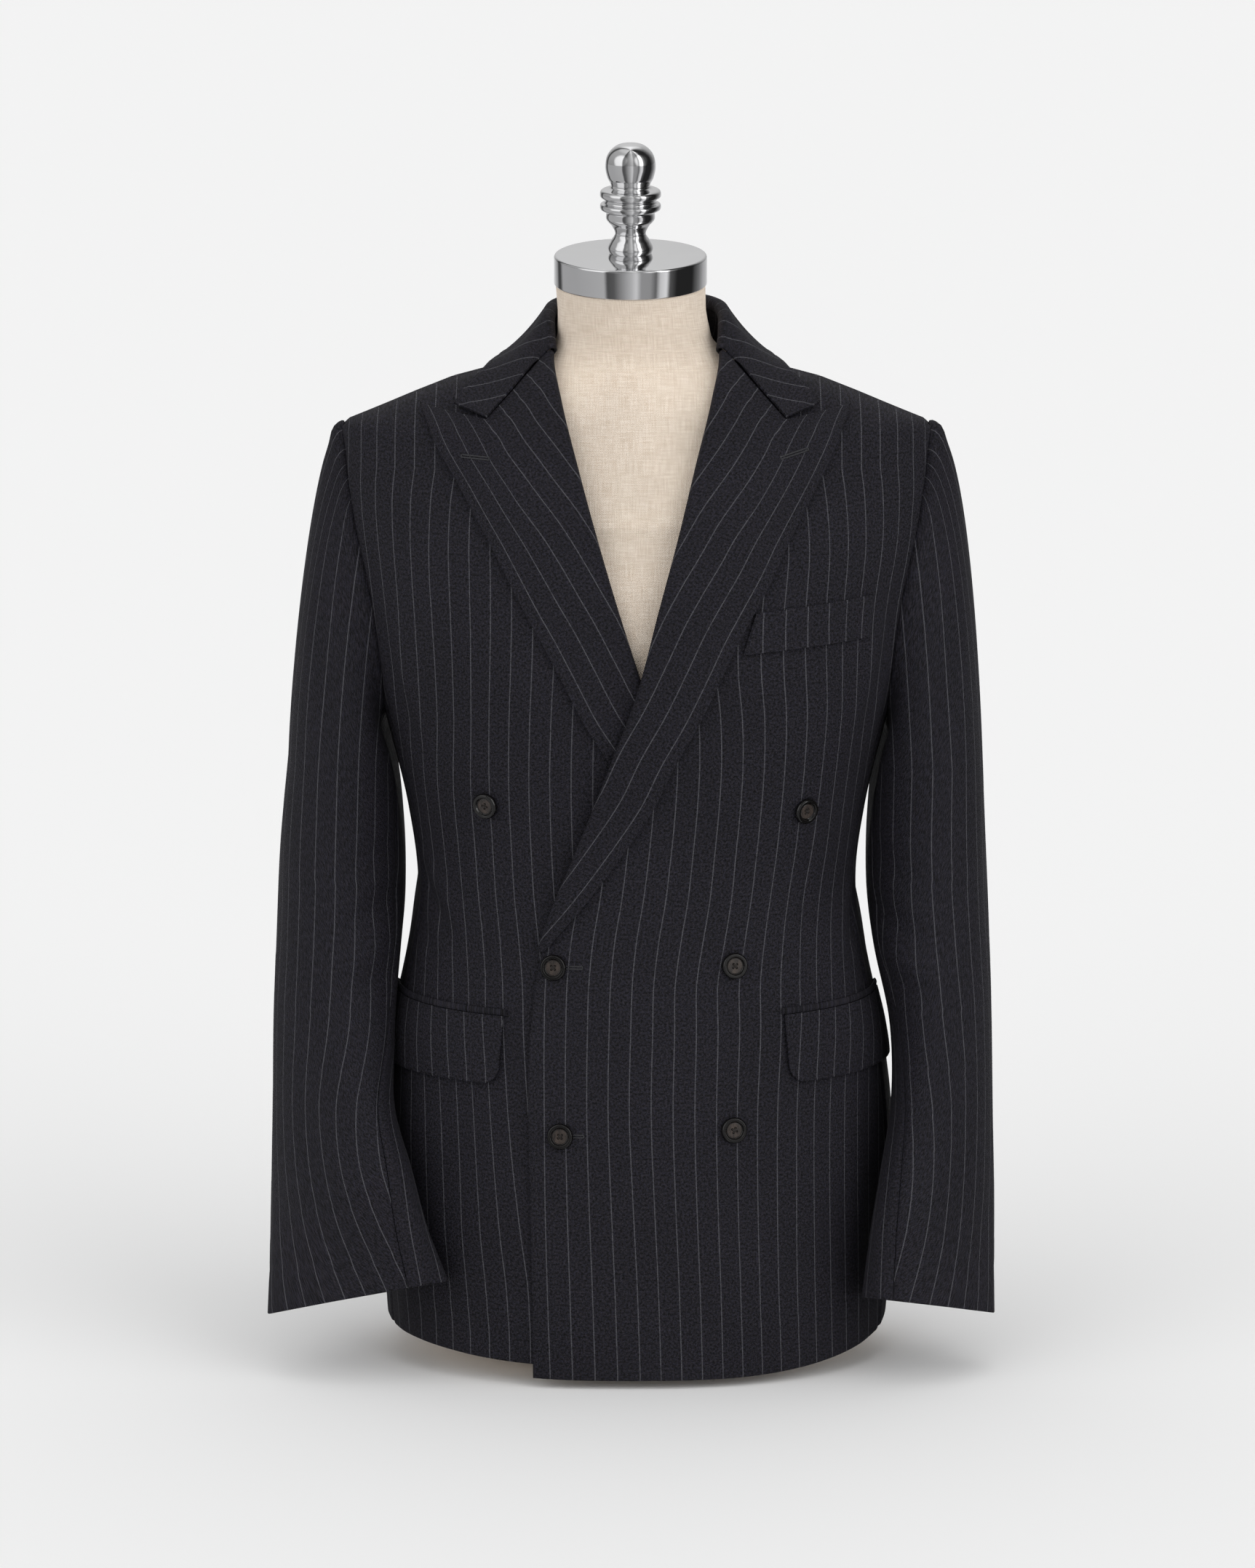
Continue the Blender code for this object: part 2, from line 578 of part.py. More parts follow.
def sleeve_panel(side, upper):
    """Top sleeve from seam to seam over the outside, or the under sleeve."""
    def face(u, v):
        fore = np.radians(SLEEVE_SEAMS.at("fore", u))
        hind = np.radians(SLEEVE_SEAMS.at("hind", u))
        if upper:
            start, end = hind - 2 * math.pi + SEAM_GAP_ANGLE, fore - SEAM_GAP_ANGLE
        else:
            start, end = fore + SEAM_GAP_ANGLE, hind - SEAM_GAP_ANGLE
        return sleeve(side, u, start + (end - start) * v)

    return face


def flap(side):
    """A hip pocket's flap: it hangs from the jet, with round lower corners."""
    def face(u, v):
        height = FLAP_TOP + (FLAP_BOTTOM - FLAP_TOP) * u
        low = np.clip((FLAP_BOTTOM + FLAP_ROUND - height) / FLAP_ROUND, 0.0, 1.0)
        inset = FLAP_ROUND * (1.0 - np.sqrt(1.0 - (0.98 * low) ** 2))
        start = turn_at(height, FLAP_FRONT[side] + 0.004 * u + inset)
        end = math.radians(FLAP_END_TURN) - inset / 0.15
        turn = start + (end - start) * v
        lift = 0.0030 + 0.0012 * np.sin(math.pi * 0.5 * u)
        x = body_face(height, turn)[..., 0]
        return body(height, turn, lap_lift(side, x, height) + lift) * np.array([side, 1.0, 1.0])

    return face


def jet(side):
    """The narrow jetting over a flap."""
    def face(u, v):
        height = FLAP_TOP + SEAM_GAP + JET_HEIGHT * (1.0 - u)
        start = turn_at(height, FLAP_FRONT[side] - 0.002)
        turn = start + (math.radians(FLAP_END_TURN + 0.5) - start) * v
        x = body_face(height, turn)[..., 0]
        return body(height, turn, lap_lift(side, x, height) + 0.0029) * np.array([side, 1.0, 1.0])

    return face


def welt(u, v):
    """The breast pocket's slanting welt, on the wearer's left front."""
    corners = np.array(WELT)
    left = corners[0] + (corners[1] - corners[0]) * u[..., None]
    right = corners[3] + (corners[2] - corners[3]) * u[..., None]
    place = left + (right - left) * v[..., None]
    return on_front(LEFT, place[..., 0], place[..., 1], 0.0028)


def make_material(name, colour, roughness, metallic=0.0):
    material = bpy.data.materials.new(name)
    material.use_nodes = True
    shader = material.node_tree.nodes["Principled BSDF"]
    shader.inputs["Base Color"].default_value = (*colour, 1.0)
    shader.inputs["Roughness"].default_value = roughness
    shader.inputs["Metallic"].default_value = metallic
    return material


def add_object(name, points, faces, material, smooth_shade=True):
    """A named closed body with its faces turned outwards."""
    mesh = bpy.data.meshes.new(name)
    mesh.from_pydata([tuple(p) for p in points], [], faces)
    work = bmesh.new()
    work.from_mesh(mesh)
    bmesh.ops.recalc_face_normals(work, faces=work.faces)
    work.to_mesh(mesh)
    work.free()
    if smooth_shade:
        mesh.shade_smooth()
    mesh.materials.append(material)
    piece = bpy.data.objects.new(name, mesh)
    bpy.context.scene.collection.objects.link(piece)
    return piece


def shell(name, face, rows, columns, material, wall=CLOTH, flip=False):
    """A wall whose outer side is the face, and whose inner side lies a wall in."""
    u, v = np.meshgrid(np.asarray(rows, float), np.asarray(columns, float), indexing="ij")
    outer = face(u, v)
    e = 1e-4
    step_u = face(np.minimum(u + e, 1), v) - face(np.maximum(u - e, 0), v)
    step_v = face(u, np.minimum(v + e, 1)) - face(u, np.maximum(v - e, 0))
    normal = unit(np.cross(step_u, step_v)) * (-1.0 if flip else 1.0)
    inner = outer - normal * wall
    count_u, count_v = u.shape
    points = np.concatenate([outer.reshape(-1, 3), inner.reshape(-1, 3)])
    index = np.arange(count_u * count_v).reshape(count_u, count_v)
    quads = np.stack([index[:-1, :-1], index[1:, :-1], index[1:, 1:], index[:-1, 1:]], axis=-1)
    faces = quads.reshape(-1, 4).tolist()
    shift = count_u * count_v
    faces += (quads[..., ::-1] + shift).reshape(-1, 4).tolist()
    border = np.concatenate([index[0, :], index[1:, -1], index[-1, -2::-1], index[-2:0:-1, 0]])
    after = np.roll(border, -1)
    faces += np.stack([border, after, after + shift, border + shift], axis=-1).tolist()
    return add_object(name, points, faces, material)


def turned(name, profile, centre, axis, material, segments=16):
    """A closed body of revolution: the profile starts and ends on its axis."""
    axis = unit(np.array(axis, float))
    helper = np.array([0.0, 0.0, 1.0]) if abs(axis[2]) < 0.9 else np.array([1.0, 0.0, 0.0])
    side_way = unit(np.cross(axis, helper))
    other_way = np.cross(axis, side_way)
    angle = np.linspace(0.0, 2 * math.pi, segments, endpoint=False)
    circle = np.cos(angle)[:, None] * side_way + np.sin(angle)[:, None] * other_way
    centre = np.array(centre, float)
    points = [centre + axis * profile[0][1]]
    for radius, height in profile[1:-1]:
        points.extend(centre + axis * height + circle * radius)
    points.append(centre + axis * profile[-1][1])
    faces = []
    last = len(points) - 1
    for i in range(segments):
        j = (i + 1) % segments
        faces.append((0, 1 + j, 1 + i))
        for k in range(len(profile) - 3):
            a, b = 1 + k * segments, 1 + (k + 1) * segments
            faces.append((a + i, a + j, b + j, b + i))
        top = 1 + (len(profile) - 3) * segments
        faces.append((last, top + i, top + j))
    return add_object(name, points, faces, material)


def button(name, side, x, height, material):
    """A horn button, its back just off the cloth."""
    seat = on_front(side, np.array(x), np.array(height))
    axis = unit(on_front(side, np.array(x), np.array(height), 0.001) - seat)
    profile = [(r * BUTTON_RADIUS, h * BUTTON_THICK) for r, h in BUTTON_PROFILE]
    return turned(name, profile, seat + axis * 0.0005, axis, material)


def form_ring(height, turn):
    """The form's own surface: inside the jacket, then shoulders and neck."""
    width, front, back, square = ring(height)
    low = FORM.rows[0, 0]
    inset = FORM_INSET + FORM_TUCK * (1.0 - np.clip(height / FORM_TUCK_HEIGHT, 0.0, 1.0)) ** 2
    inside = (width - inset, front - inset, back - inset, square, 0.0 * height)
    above = (FORM.at("half_width", height), FORM.at("front", height), FORM.at("back", height),
             2.1 + 0.0 * height, FORM.at("middle_y", height))
    blend = smooth((height - (low - 0.05)) / 0.05)
    width, front, back, square, middle = (a + (b - a) * blend for a, b in zip(inside, above))
    s, c = np.sin(turn), np.cos(turn)
    q = (np.abs(s) ** square + np.abs(c) ** square) ** (1.0 / square)
    depth = np.where(c > 0, front, back)
    lean = CAP_CENTRE[0] * smooth((height - 0.76) / 0.08)
    return np.stack([lean + width * s / q, middle - depth * c / q, height + 0.0 * s], axis=-1)


def form_body(material):
    """The linen torso and neck, closed flat at its base and under its cap."""
    heights = np.concatenate([(0.0, 0.009, 0.022, 0.045), np.linspace(0.10, 0.60, 11),
                              FORM.rows[:, 0]])
    turns = np.linspace(0.0, 2 * math.pi, 28, endpoint=False)
    h, t = np.meshgrid(heights, turns, indexing="ij")
    rings = form_ring(h, t)
    lean = np.array([0.0, -math.sin(NECK_LEAN), math.cos(NECK_LEAN)])
    seat = np.array(CAP_CENTRE) - lean * (CAP_RIM + SEAM_GAP)
    across = rings[-1] - rings[-1].mean(axis=0)
    across = across - (across @ lean)[:, None] * lean
    rings = np.concatenate([rings, (seat + unit(across) * (CAP_RADIUS - 0.0012))[None]])
    count, segments = rings.shape[:2]
    points = list(rings.reshape(-1, 3))
    top = (count - 1) * segments
    faces = [tuple(range(segments))[::-1], tuple(range(top, top + segments))]
    for k in range(0, top, segments):
        for i in range(segments):
            j = (i + 1) % segments
            faces.append((k + i, k + j, k + segments + j, k + segments + i))
    return add_object("form_body", points, faces, material)


def form_fittings(chrome):
    """The chrome cap over the neck, and the finial that stands on it."""
    lean = np.array([0.0, -math.sin(NECK_LEAN), math.cos(NECK_LEAN)])
    centre = np.array(CAP_CENTRE) - lean * CAP_RIM
    top = CAP_RIM + CAP_CROWN
    cap = ((0.0, 0.0), (CAP_RADIUS, 0.0), (CAP_RADIUS, CAP_RIM - CAP_ROUND),
           (CAP_RADIUS - CAP_ROUND, CAP_RIM), (CAP_RADIUS / 2, top), (0.0, top))
    turned("form_cap", cap, centre, lean, chrome, segments=32)
    foot = centre + lean * (top + SEAM_GAP)
    turned("form_finial", FINIAL_PROFILE, foot, lean, chrome)


def main():
    for old in list(bpy.data.objects):
        bpy.data.objects.remove(old, do_unlink=True)
    cloth = make_material("charcoal_worsted", (0.022, 0.022, 0.026), 0.85)
    horn = make_material("dark_horn", (0.02, 0.014, 0.010), 0.30)
    linen = make_material("natural_linen", (0.60, 0.52, 0.40), 0.90)
    chrome = make_material("chrome", (0.75, 0.75, 0.76), 0.12, 1.0)

    for side, word in ((LEFT, "left"), (RIGHT, "right")):
        outside = side == LEFT
        shell("front_" + word, front_panel(side), PANEL_ROWS, columns(11), cloth, flip=outside)
        shell("side_" + word, side_panel(side), SIDE_ROWS, columns(5), cloth, flip=outside)
        shell("back_" + word, back_panel(side), PANEL_ROWS, columns(6), cloth, flip=outside)
        shell("lapel_" + word, lapel(side), fold_and_leaf(LAPEL_LEAF), LAPEL_UP, cloth,
              flip=not outside)
        shell("sleeve_top_" + word, sleeve_panel(side, True), SLEEVE_ROWS, columns(12), cloth,
              flip=outside)
        shell("sleeve_under_" + word, sleeve_panel(side, False), SLEEVE_ROWS, columns(6), cloth,
              flip=outside)
        shell("flap_" + word, flap(side), FLAP_ROWS, columns(6), cloth, flip=not outside)
        shell("jet_" + word, jet(side), columns(1), columns(6), cloth, flip=not outside)
    shell("collar", collar, fold_and_leaf(COLLAR_LEAF), columns(24), cloth)
    shell("collar_stand", stand, columns(2), columns(20), cloth)
    shell("breast_welt", welt, columns(2), columns(5), cloth)
    for name, side, x, height in BUTTONS:
        button("button_" + name, side, x, height, horn)
    form_body(linen)
    form_fittings(chrome)


main()
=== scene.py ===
# %% [markdown]
# # A double-breasted jacket on a dress form
#
# This file dresses the imported model: each cut piece of cloth, each button and the form's linen and
# chrome become finished pieces in the place of their CAD nodes. A reader who is learning Blender
# can run it cell by cell. All shapes are worked out as numpy arrays: a surface is a formula of two
# shares, u and v, asked for a whole grid of places at once.
#
# The frame comes first. It is fixed, so nothing here may move a CAD node or outgrow the CAD box.

# %% Load the frame
import math

import bpy
import numpy as np
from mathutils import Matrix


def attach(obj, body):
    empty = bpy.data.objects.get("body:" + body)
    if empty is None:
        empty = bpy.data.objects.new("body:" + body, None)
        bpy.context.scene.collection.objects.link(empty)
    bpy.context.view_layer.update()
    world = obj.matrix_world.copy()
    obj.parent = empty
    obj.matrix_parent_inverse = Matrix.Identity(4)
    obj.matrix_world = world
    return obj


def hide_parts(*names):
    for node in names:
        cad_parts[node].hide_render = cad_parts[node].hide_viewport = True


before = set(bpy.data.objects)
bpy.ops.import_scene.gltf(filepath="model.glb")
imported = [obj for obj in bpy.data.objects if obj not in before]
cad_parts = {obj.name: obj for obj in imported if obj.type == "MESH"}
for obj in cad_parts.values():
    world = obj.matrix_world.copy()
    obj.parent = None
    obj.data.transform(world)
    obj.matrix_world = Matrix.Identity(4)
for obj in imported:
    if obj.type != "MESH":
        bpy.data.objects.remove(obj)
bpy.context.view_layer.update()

# %% [markdown]
# ## Camera
#
# The photograph is taken from a little over the shoulders with a long lens, about 4.8 m away. Its
# lens is found from how much the far and near edges of the neck cap differ. A long lens flattens
# the chest, so a short one, even if it framed the jacket the same, would swell the front. The
# figure stands a few pixels right of the middle, which a small shift does without turning it.

# %% Camera
PIXELS_HIGH = 2156
FOCAL_PIXELS = 8541
eye = bpy.data.cameras.new("eye")
eye.sensor_width = 36.0
eye.lens = FOCAL_PIXELS / PIXELS_HIGH * eye.sensor_width
eye.shift_x = -12.4 / PIXELS_HIGH
eye.clip_end = 300.0
camera = bpy.data.objects.new("camera", eye)
camera.location = (0.0, -4.75, 1.327)
camera.rotation_euler = (math.radians(90.0 - 10.52), 0.0, 0.0)
bpy.context.scene.collection.objects.link(camera)
bpy.context.scene.camera = camera
print("lens", round(eye.lens, 1), "mm")

# %% [markdown]
# ## Node helpers
#
# A material is a small graph. Adding each node by hand takes four lines, so one helper adds a node,
# sets its choices and fills its inputs, whether with a number or with another node's output.


# %% Helpers for node graphs
def add(tree, kind, inputs=None, **choices):
    """Adds a node; each input is set, or linked when it is given an output."""
    node = tree.nodes.new("ShaderNode" + kind)
    for key, value in choices.items():
        setattr(node, key, value)
    for key, value in (inputs or {}).items():
        if isinstance(value, bpy.types.NodeSocket):
            tree.links.new(value, node.inputs[key])
        else:
            node.inputs[key].default_value = value
    return node


def maths(tree, operation, *values):
    """One Math node on one value or two."""
    return add(tree, "Math", dict(enumerate(values)), operation=operation).outputs[0]


def plus(tree, first, second):
    return maths(tree, "ADD", first, second)


def times(tree, first, second):
    return maths(tree, "MULTIPLY", first, second)


def ease(tree, value, low, high, to_low=0.0, to_high=1.0):
    """Carries low..high over to to_low..to_high with soft ends."""
    inputs = {"Value": value, "From Min": low, "From Max": high,
              "To Min": to_low, "To Max": to_high}
    return add(tree, "MapRange", inputs, interpolation_type="SMOOTHSTEP").outputs[0]


def blend_colours(tree, share, first, second):
    """A colour between two, by share."""
    colours = {0: share, 6: first, 7: second}
    return add(tree, "Mix", colours, data_type="RGBA").outputs[2]


def noise(tree, where, scale, detail=2.0, roughness=0.5):
    """Cloudy noise from 0 to 1, scale lumps to the metre."""
    inputs = {"Vector": where, "Scale": scale, "Detail": detail, "Roughness": roughness}
    return add(tree, "TexNoise", inputs).outputs[0]


def finish_named(name):
    """A new material and its tree and main shader."""
    material = bpy.data.materials.new(name)
    material.use_nodes = True
    tree = material.node_tree
    return material, tree, tree.nodes["Principled BSDF"]


def finish_off(tree, shader, colour, rough, height, strength, depth, plain=()):
    """Links colour, roughness and bump, and sets the shader's plain numbers."""
    bump = add(tree, "Bump", {"Height": height, "Strength": strength, "Distance": depth})
    links = (("Base Color", colour), ("Roughness", rough), ("Normal", bump.outputs[0]))
    for socket, value in links:
        tree.links.new(value, shader.inputs[socket])
    for socket, value in plain:
        shader.inputs[socket].default_value = value


def stripe_uv(tree):
    """The stripe number, then metres across the stripes and along them, and both as a place."""
    parts = add(tree, "SeparateXYZ", {0: add(tree, "TexCoord").outputs["UV"]})
    number, along = parts.outputs[0], parts.outputs[1]
    across = times(tree, number, PITCH)
    return number, across, along, add(tree, "CombineXYZ", {0: across, 1: along}).outputs[0]


# %% [markdown]
# ## Floor and studio light
#
# The photograph has a plain pale ground and a soft light with no hard shadow. A white studio is
# easiest made as a world that glows by direction: brighter above, with a soft box on each side of
# the camera and one overhead. It lights the floor evenly however wide that is, where lamps would
# leave a pool of light. Polished metal needs something dark to mirror, as a photographer sets up
# with black boards, so mirrored rays see a ring of light and dark stretches round the room. Where
# they stand, and how bright they are, follows the light and dark along the cap's side in the photo.


# %% Floor and light
GROUND = 0.879           # what the camera sees beyond the floor
FAR = 60.0               # metres to each of the floor's edges
MIRROR_GAIN = 1.5
BOX_WIDTH = 0.80         # cosine at a soft box's edge
SOFT_BOXES = (           # direction, strength
    ((-1.6, -1.3, 0.8), 0.92), ((1.7, -1.2, 0.8), 1.40), ((0.0, 0.2, 1.0), 0.32))
BOARDS = (               # share of the way round, glow
    (0.0, 0.43), (0.135, 0.49), (0.150, 0.085), (0.18, 0.115), (0.25, 0.51), (0.275, 0.72),
    (0.295, 0.34), (0.335, 0.33), (0.36, 0.14), (0.38, 0.68), (0.408, 0.86), (0.424, 0.10),
    (0.46, 0.02), (0.55, 0.02), (0.60, 0.18), (0.65, 0.46), (0.70, 0.60), (0.75, 0.73),
    (0.80, 0.66), (0.845, 0.36), (0.866, 0.06), (0.885, 0.085), (0.905, 0.43), (1.0, 0.43))


def boards_round(tree, where):
    """Light and dark by compass direction, from the list of boards."""
    share = add(tree, "TexGradient", {"Vector": where}, gradient_type="RADIAL").outputs[1]
    ramp = add(tree, "ValToRGB", {0: share})
    stops = ramp.color_ramp.elements
    for k, (place, glow) in enumerate(BOARDS):
        stop = stops[0] if k == 0 else stops[-1] if place == 1.0 else stops.new(place)
        stop.position = place
        stop.color = (glow, glow, glow * 1.01, 1.0)
    return ramp.outputs[0]


def soft_box(tree, where, towards, glow):
    """A round patch of light: it fades in as the cosine to its direction nears 1."""
    length = math.sqrt(sum(c * c for c in towards))
    inputs = {0: where, 1: tuple(c / length for c in towards)}
    cosine = add(tree, "VectorMath", inputs, operation="DOT_PRODUCT").outputs["Value"]
    return ease(tree, cosine, BOX_WIDTH, BOX_WIDTH + 0.12, 0.0, glow)


world = bpy.data.worlds.new("studio")
world.use_nodes = True
bpy.context.scene.world = world
sky = world.node_tree
around = add(sky, "TexCoord").outputs["Generated"]
up = add(sky, "SeparateXYZ", {0: around}).outputs[2]
glow = ease(sky, up, -0.2, 0.9, 0.50, 0.71)
for towards, strength in SOFT_BOXES:
    glow = plus(sky, glow, soft_box(sky, around, towards, strength))
room = times(sky, glow, boards_round(sky, around))
rays = add(sky, "LightPath")
mirrored_ray = rays.outputs["Is Glossy Ray"]
lit = blend_colours(sky, mirrored_ray, glow, times(sky, room, MIRROR_GAIN))
seen = blend_colours(sky, rays.outputs["Is Camera Ray"], lit, (GROUND, GROUND, GROUND, 1.0))
sky.links.new(seen, sky.nodes["Background"].inputs["Color"])

pale, tree, shader = finish_named("pale_floor")
spot = add(tree, "TexCoord").outputs["Object"]
ring_glow = boards_round(tree, spot)
mirrored_ray = add(tree, "LightPath").outputs["Is Glossy Ray"]
# Painted light and dark on the floor: mirrored rays see it coloured with the ring of boards, which
# the chrome reflects; all other rays see it plain and pale.
tone = blend_colours(tree, mirrored_ray, (0.92, 0.92, 0.92, 1.0), ring_glow)
tree.links.new(tone, shader.inputs["Base Color"])
shader.inputs["Roughness"].default_value = 1.0
shader.inputs["Specular IOR Level"].default_value = 0.0
floor_mesh = bpy.data.meshes.new("floor")
corners = [(-FAR, -FAR, 0), (FAR, -FAR, 0), (FAR, FAR, 0), (-FAR, FAR, 0)]
floor_mesh.from_pydata(corners, [], [(0, 1, 2, 3)])
floor_mesh.materials.append(pale)
floor = bpy.data.objects.new("floor", floor_mesh)
bpy.context.scene.collection.objects.link(floor)
bpy.context.scene.view_settings.view_transform = "Standard"
print("floor and", len(BOARDS), "stretches of board round the room")

# %% [markdown]
# ## Sizes
#
# The jacket's body is one surface of flattened rings: at each height a half width, a front and a
# back depth, and how square the ring is. Every table lists measured sizes at a few heights, and a
# smooth cubic runs between them, as a maker's curve rule runs between marks. The same numbers
# shaped the CAD model, so the finished cloth lies where its solids do.

# %% Constants
CLOTH = 0.002            # a panel's wall
SEAM_GAP = 0.00012       # kept between two pieces at a seam
FOLD_RADIUS = 0.0026     # the lapel's and the collar's roll, at mid wall
LEAF_LIFT = 0.0038       # outer face of a lapel's free edge over its front
COLLAR_LIFT = 0.0044     # and of the collar's
FOLD_SHARE = 0.22        # share of a lapel's or the collar's columns in its fold
COLLAR_DIP = 0.0060      # how hollow the collar's fall is over the shoulder
COLLAR_BLEND = 0.36      # share of the collar that runs into the gorge's line
LAP_REACH = 0.0825       # half the width over which the fronts lap
LAP_RISE = 0.0030        # the left front's edge rides this far out
LAP_SINK = 0.0085        # and the right front goes this far in under it
SIDE_LEVEL, SIDE_TOP = 0.465, 0.500   # the side body's rows bend between these
NECK_HEIGHT = 0.780      # where the body ends and the collar's stand begins
HEM_BLEND = 0.120        # the hem's curve fades out over this height
FRONT_SEAM = 72.0        # degrees round from centre front to the side body
BACK_SEAM = 118.0
BUTTON_RADIUS = 0.0101
BUTTON_THICK = 0.0038
FORM_INSET = 0.0145      # the form lies this far inside the cloth's outer face
FORM_TUCK = 0.052        # and draws in this much more at its base, over
FORM_TUCK_HEIGHT = 0.045
NECK_LEAN = math.radians(7.0)
CAP_CENTRE = (-0.0046, -0.0120, 0.8585)
CAP_RADIUS = 0.0584
CAP_RIM = 0.0225         # height of the cap's side
CAP_ROUND = 0.002
CAP_CROWN = 0.0012       # rise of its top towards the middle

LEFT, RIGHT = 1, -1      # the wearer's left front laps over the right one
LAP = {LEFT: "over", RIGHT: "under"}
print("body up to", NECK_HEIGHT, "m")


# %% Smooth tables
class Table:
    """Rows of sizes with named columns, joined by a smooth cubic."""

    def __init__(self, columns, rows):
        self.names = columns.split()
        self.rows = np.array(rows, float)

    def at(self, name, where):
        """The named column where the first column has this value."""
        key, value = self.rows[:, 0], self.rows[:, self.names.index(name)]
        where = np.clip(np.asarray(where, float), key[0], key[-1])
        step = np.diff(key)
        rise = np.diff(value) / step
        slope = np.empty_like(value)
        slope[0], slope[-1] = rise[0], rise[-1]
        slope[1:-1] = (rise[:-1] * step[1:] + rise[1:] * step[:-1]) / (step[1:] + step[:-1])
        i = np.clip(np.searchsorted(key, where, side="right") - 1, 0, len(step) - 1)
        t = (where - key[i]) / step[i]
        return ((2 * t**3 - 3 * t**2 + 1) * value[i] + (t**3 - 2 * t**2 + t) * step[i] * slope[i]
                + (3 * t**2 - 2 * t**3) * value[i + 1] + (t**3 - t**2) * step[i] * slope[i + 1])


# %% Body and front
BODY = Table("height half_width front back squareness", (
    (0.000, 0.1945, 0.150, 0.124, 2.25),
    (0.060, 0.1985, 0.151, 0.128, 2.28),
    (0.130, 0.2010, 0.150, 0.130, 2.30),
    (0.200, 0.1985, 0.146, 0.128, 2.30),
    (0.260, 0.1910, 0.140, 0.119, 2.28),
    (0.320, 0.1785, 0.133, 0.107, 2.25),
    (0.370, 0.1708, 0.129, 0.101, 2.22),
    (0.430, 0.1772, 0.131, 0.106, 2.25),
    (0.490, 0.1910, 0.136, 0.117, 2.35),
    (0.550, 0.2065, 0.138, 0.127, 2.40),
    (0.610, 0.2165, 0.130, 0.131, 2.30),
    (0.660, 0.2240, 0.114, 0.126, 2.20),
    (0.700, 0.2270, 0.094, 0.113, 2.10),
    (0.7285, 0.2270, 0.080, 0.101, 2.05),
    (0.755, 0.2270, 0.066, 0.086, 2.00),
    (0.790, 0.2270, 0.054, 0.072, 2.00),
))

SHOULDER = Table("height half_width", (
    (0.7285, 0.2270),
    (0.7396, 0.1995),
    (0.7509, 0.1725),
    (0.7621, 0.1450),
    (0.7700, 0.1150),
    (0.7770, 0.0920),
    (0.7850, 0.0790),
    (0.7950, 0.0710),
))

# The front's edge up to the lower button, then its roll line, as distance
# from the centre line towards the front's own side.
FRONT_EDGE = Table("height over under", (
    (0.000, -0.0787, -0.0787),
    (0.120, -0.0802, -0.0802),
    (0.200, -0.0820, -0.0820),
    (0.260, -0.0815, -0.0815),
    (0.300, -0.0780, -0.0780),
    (0.338, -0.0712, -0.0712),
    (0.360, -0.0643, -0.0643),
    (0.406, -0.0464, -0.0470),
    (0.479, -0.0182, -0.0215),
    (0.538, 0.0035, -0.0030),
    (0.600, 0.0200, 0.0168),
    (0.653, 0.0345, 0.0327),
    (0.702, 0.0468, 0.0466),
    (0.750, 0.0592, 0.0592),
    (0.780, 0.0650, 0.0650),
    (0.790, 0.0655, 0.0655),
))

# The lapel's free edge, measured the same way.
LEAF_EDGE = Table("height over under", (
    (0.338, -0.0690, -0.0690),
    (0.372, -0.0414, -0.0430),
    (0.412, -0.0123, -0.0160),
    (0.452, 0.0137, 0.0060),
    (0.480, 0.0270, 0.0182),
    (0.513, 0.0454, 0.0384),
    (0.548, 0.0626, 0.0560),
    (0.575, 0.0755, 0.0700),
    (0.596, 0.0870, 0.0820),
    (0.623, 0.1020, 0.0965),
    (0.650, 0.1150, 0.1110),
    (0.672, 0.1270, 0.1240),
    (0.691, 0.1375, 0.1350),
    (0.719, 0.1515, 0.1520),
    (0.736, 0.1588, 0.1600),
    (0.744, 0.1625, 0.1640),
))

# From the roll line out along the gorge seam to the notch, then the lapel's
# peak and the collar's point.
GORGE = ((0.0655, 0.7850), (0.0892, 0.7620), (0.1126, 0.7372))
GORGE_GAP = np.array([0.0009, 0.0012])   # the lapel stops this short of the collar
LAPEL_LOW, LAPEL_TOP = 0.338, GORGE[0][1] - GORGE_GAP[1]
PEAK = (0.1625, 0.7450)
COLLAR_POINT = (0.1376, 0.7455)

HEM = Table("turn over under", (
    (-40.0, 0.0085, 0.0165),
    (0.0, 0.0068, 0.0165),
    (30.0, 0.0078, 0.0185),
    (60.0, 0.0165, 0.0235),
    (90.0, 0.0280, 0.0280),
    (135.0, 0.0230, 0.0230),
    (180.0, 0.0200, 0.0200),
))

# The armhole, all round from the shoulder point over the front.
ARMHOLE = Table("round height turn", (
    (-20.0, 0.7120, 98.5),
    (0.0, 0.7285, 90.0),
    (20.0, 0.7120, 81.0),
    (40.0, 0.6830, 76.5),
    (60.0, 0.6480, 72.5),
    (80.0, 0.6100, 68.5),
    (100.0, 0.5730, 66.8),
    (120.0, 0.5450, 68.0),
    (140.0, 0.5220, 73.0),
    (160.0, 0.5090, 82.0),
    (180.0, 0.5050, 93.0),
    (200.0, 0.5090, 105.0),
    (220.0, 0.5240, 115.5),
    (240.0, 0.5480, 121.0),
    (260.0, 0.5800, 122.3),
    (280.0, 0.6160, 120.8),
    (300.0, 0.6500, 116.0),
    (320.0, 0.6840, 108.0),
    (340.0, 0.7120, 98.5),
    (360.0, 0.7285, 90.0),
    (380.0, 0.7120, 81.0),
))
print("body rows", len(BODY.rows), "armhole rows", len(ARMHOLE.rows))

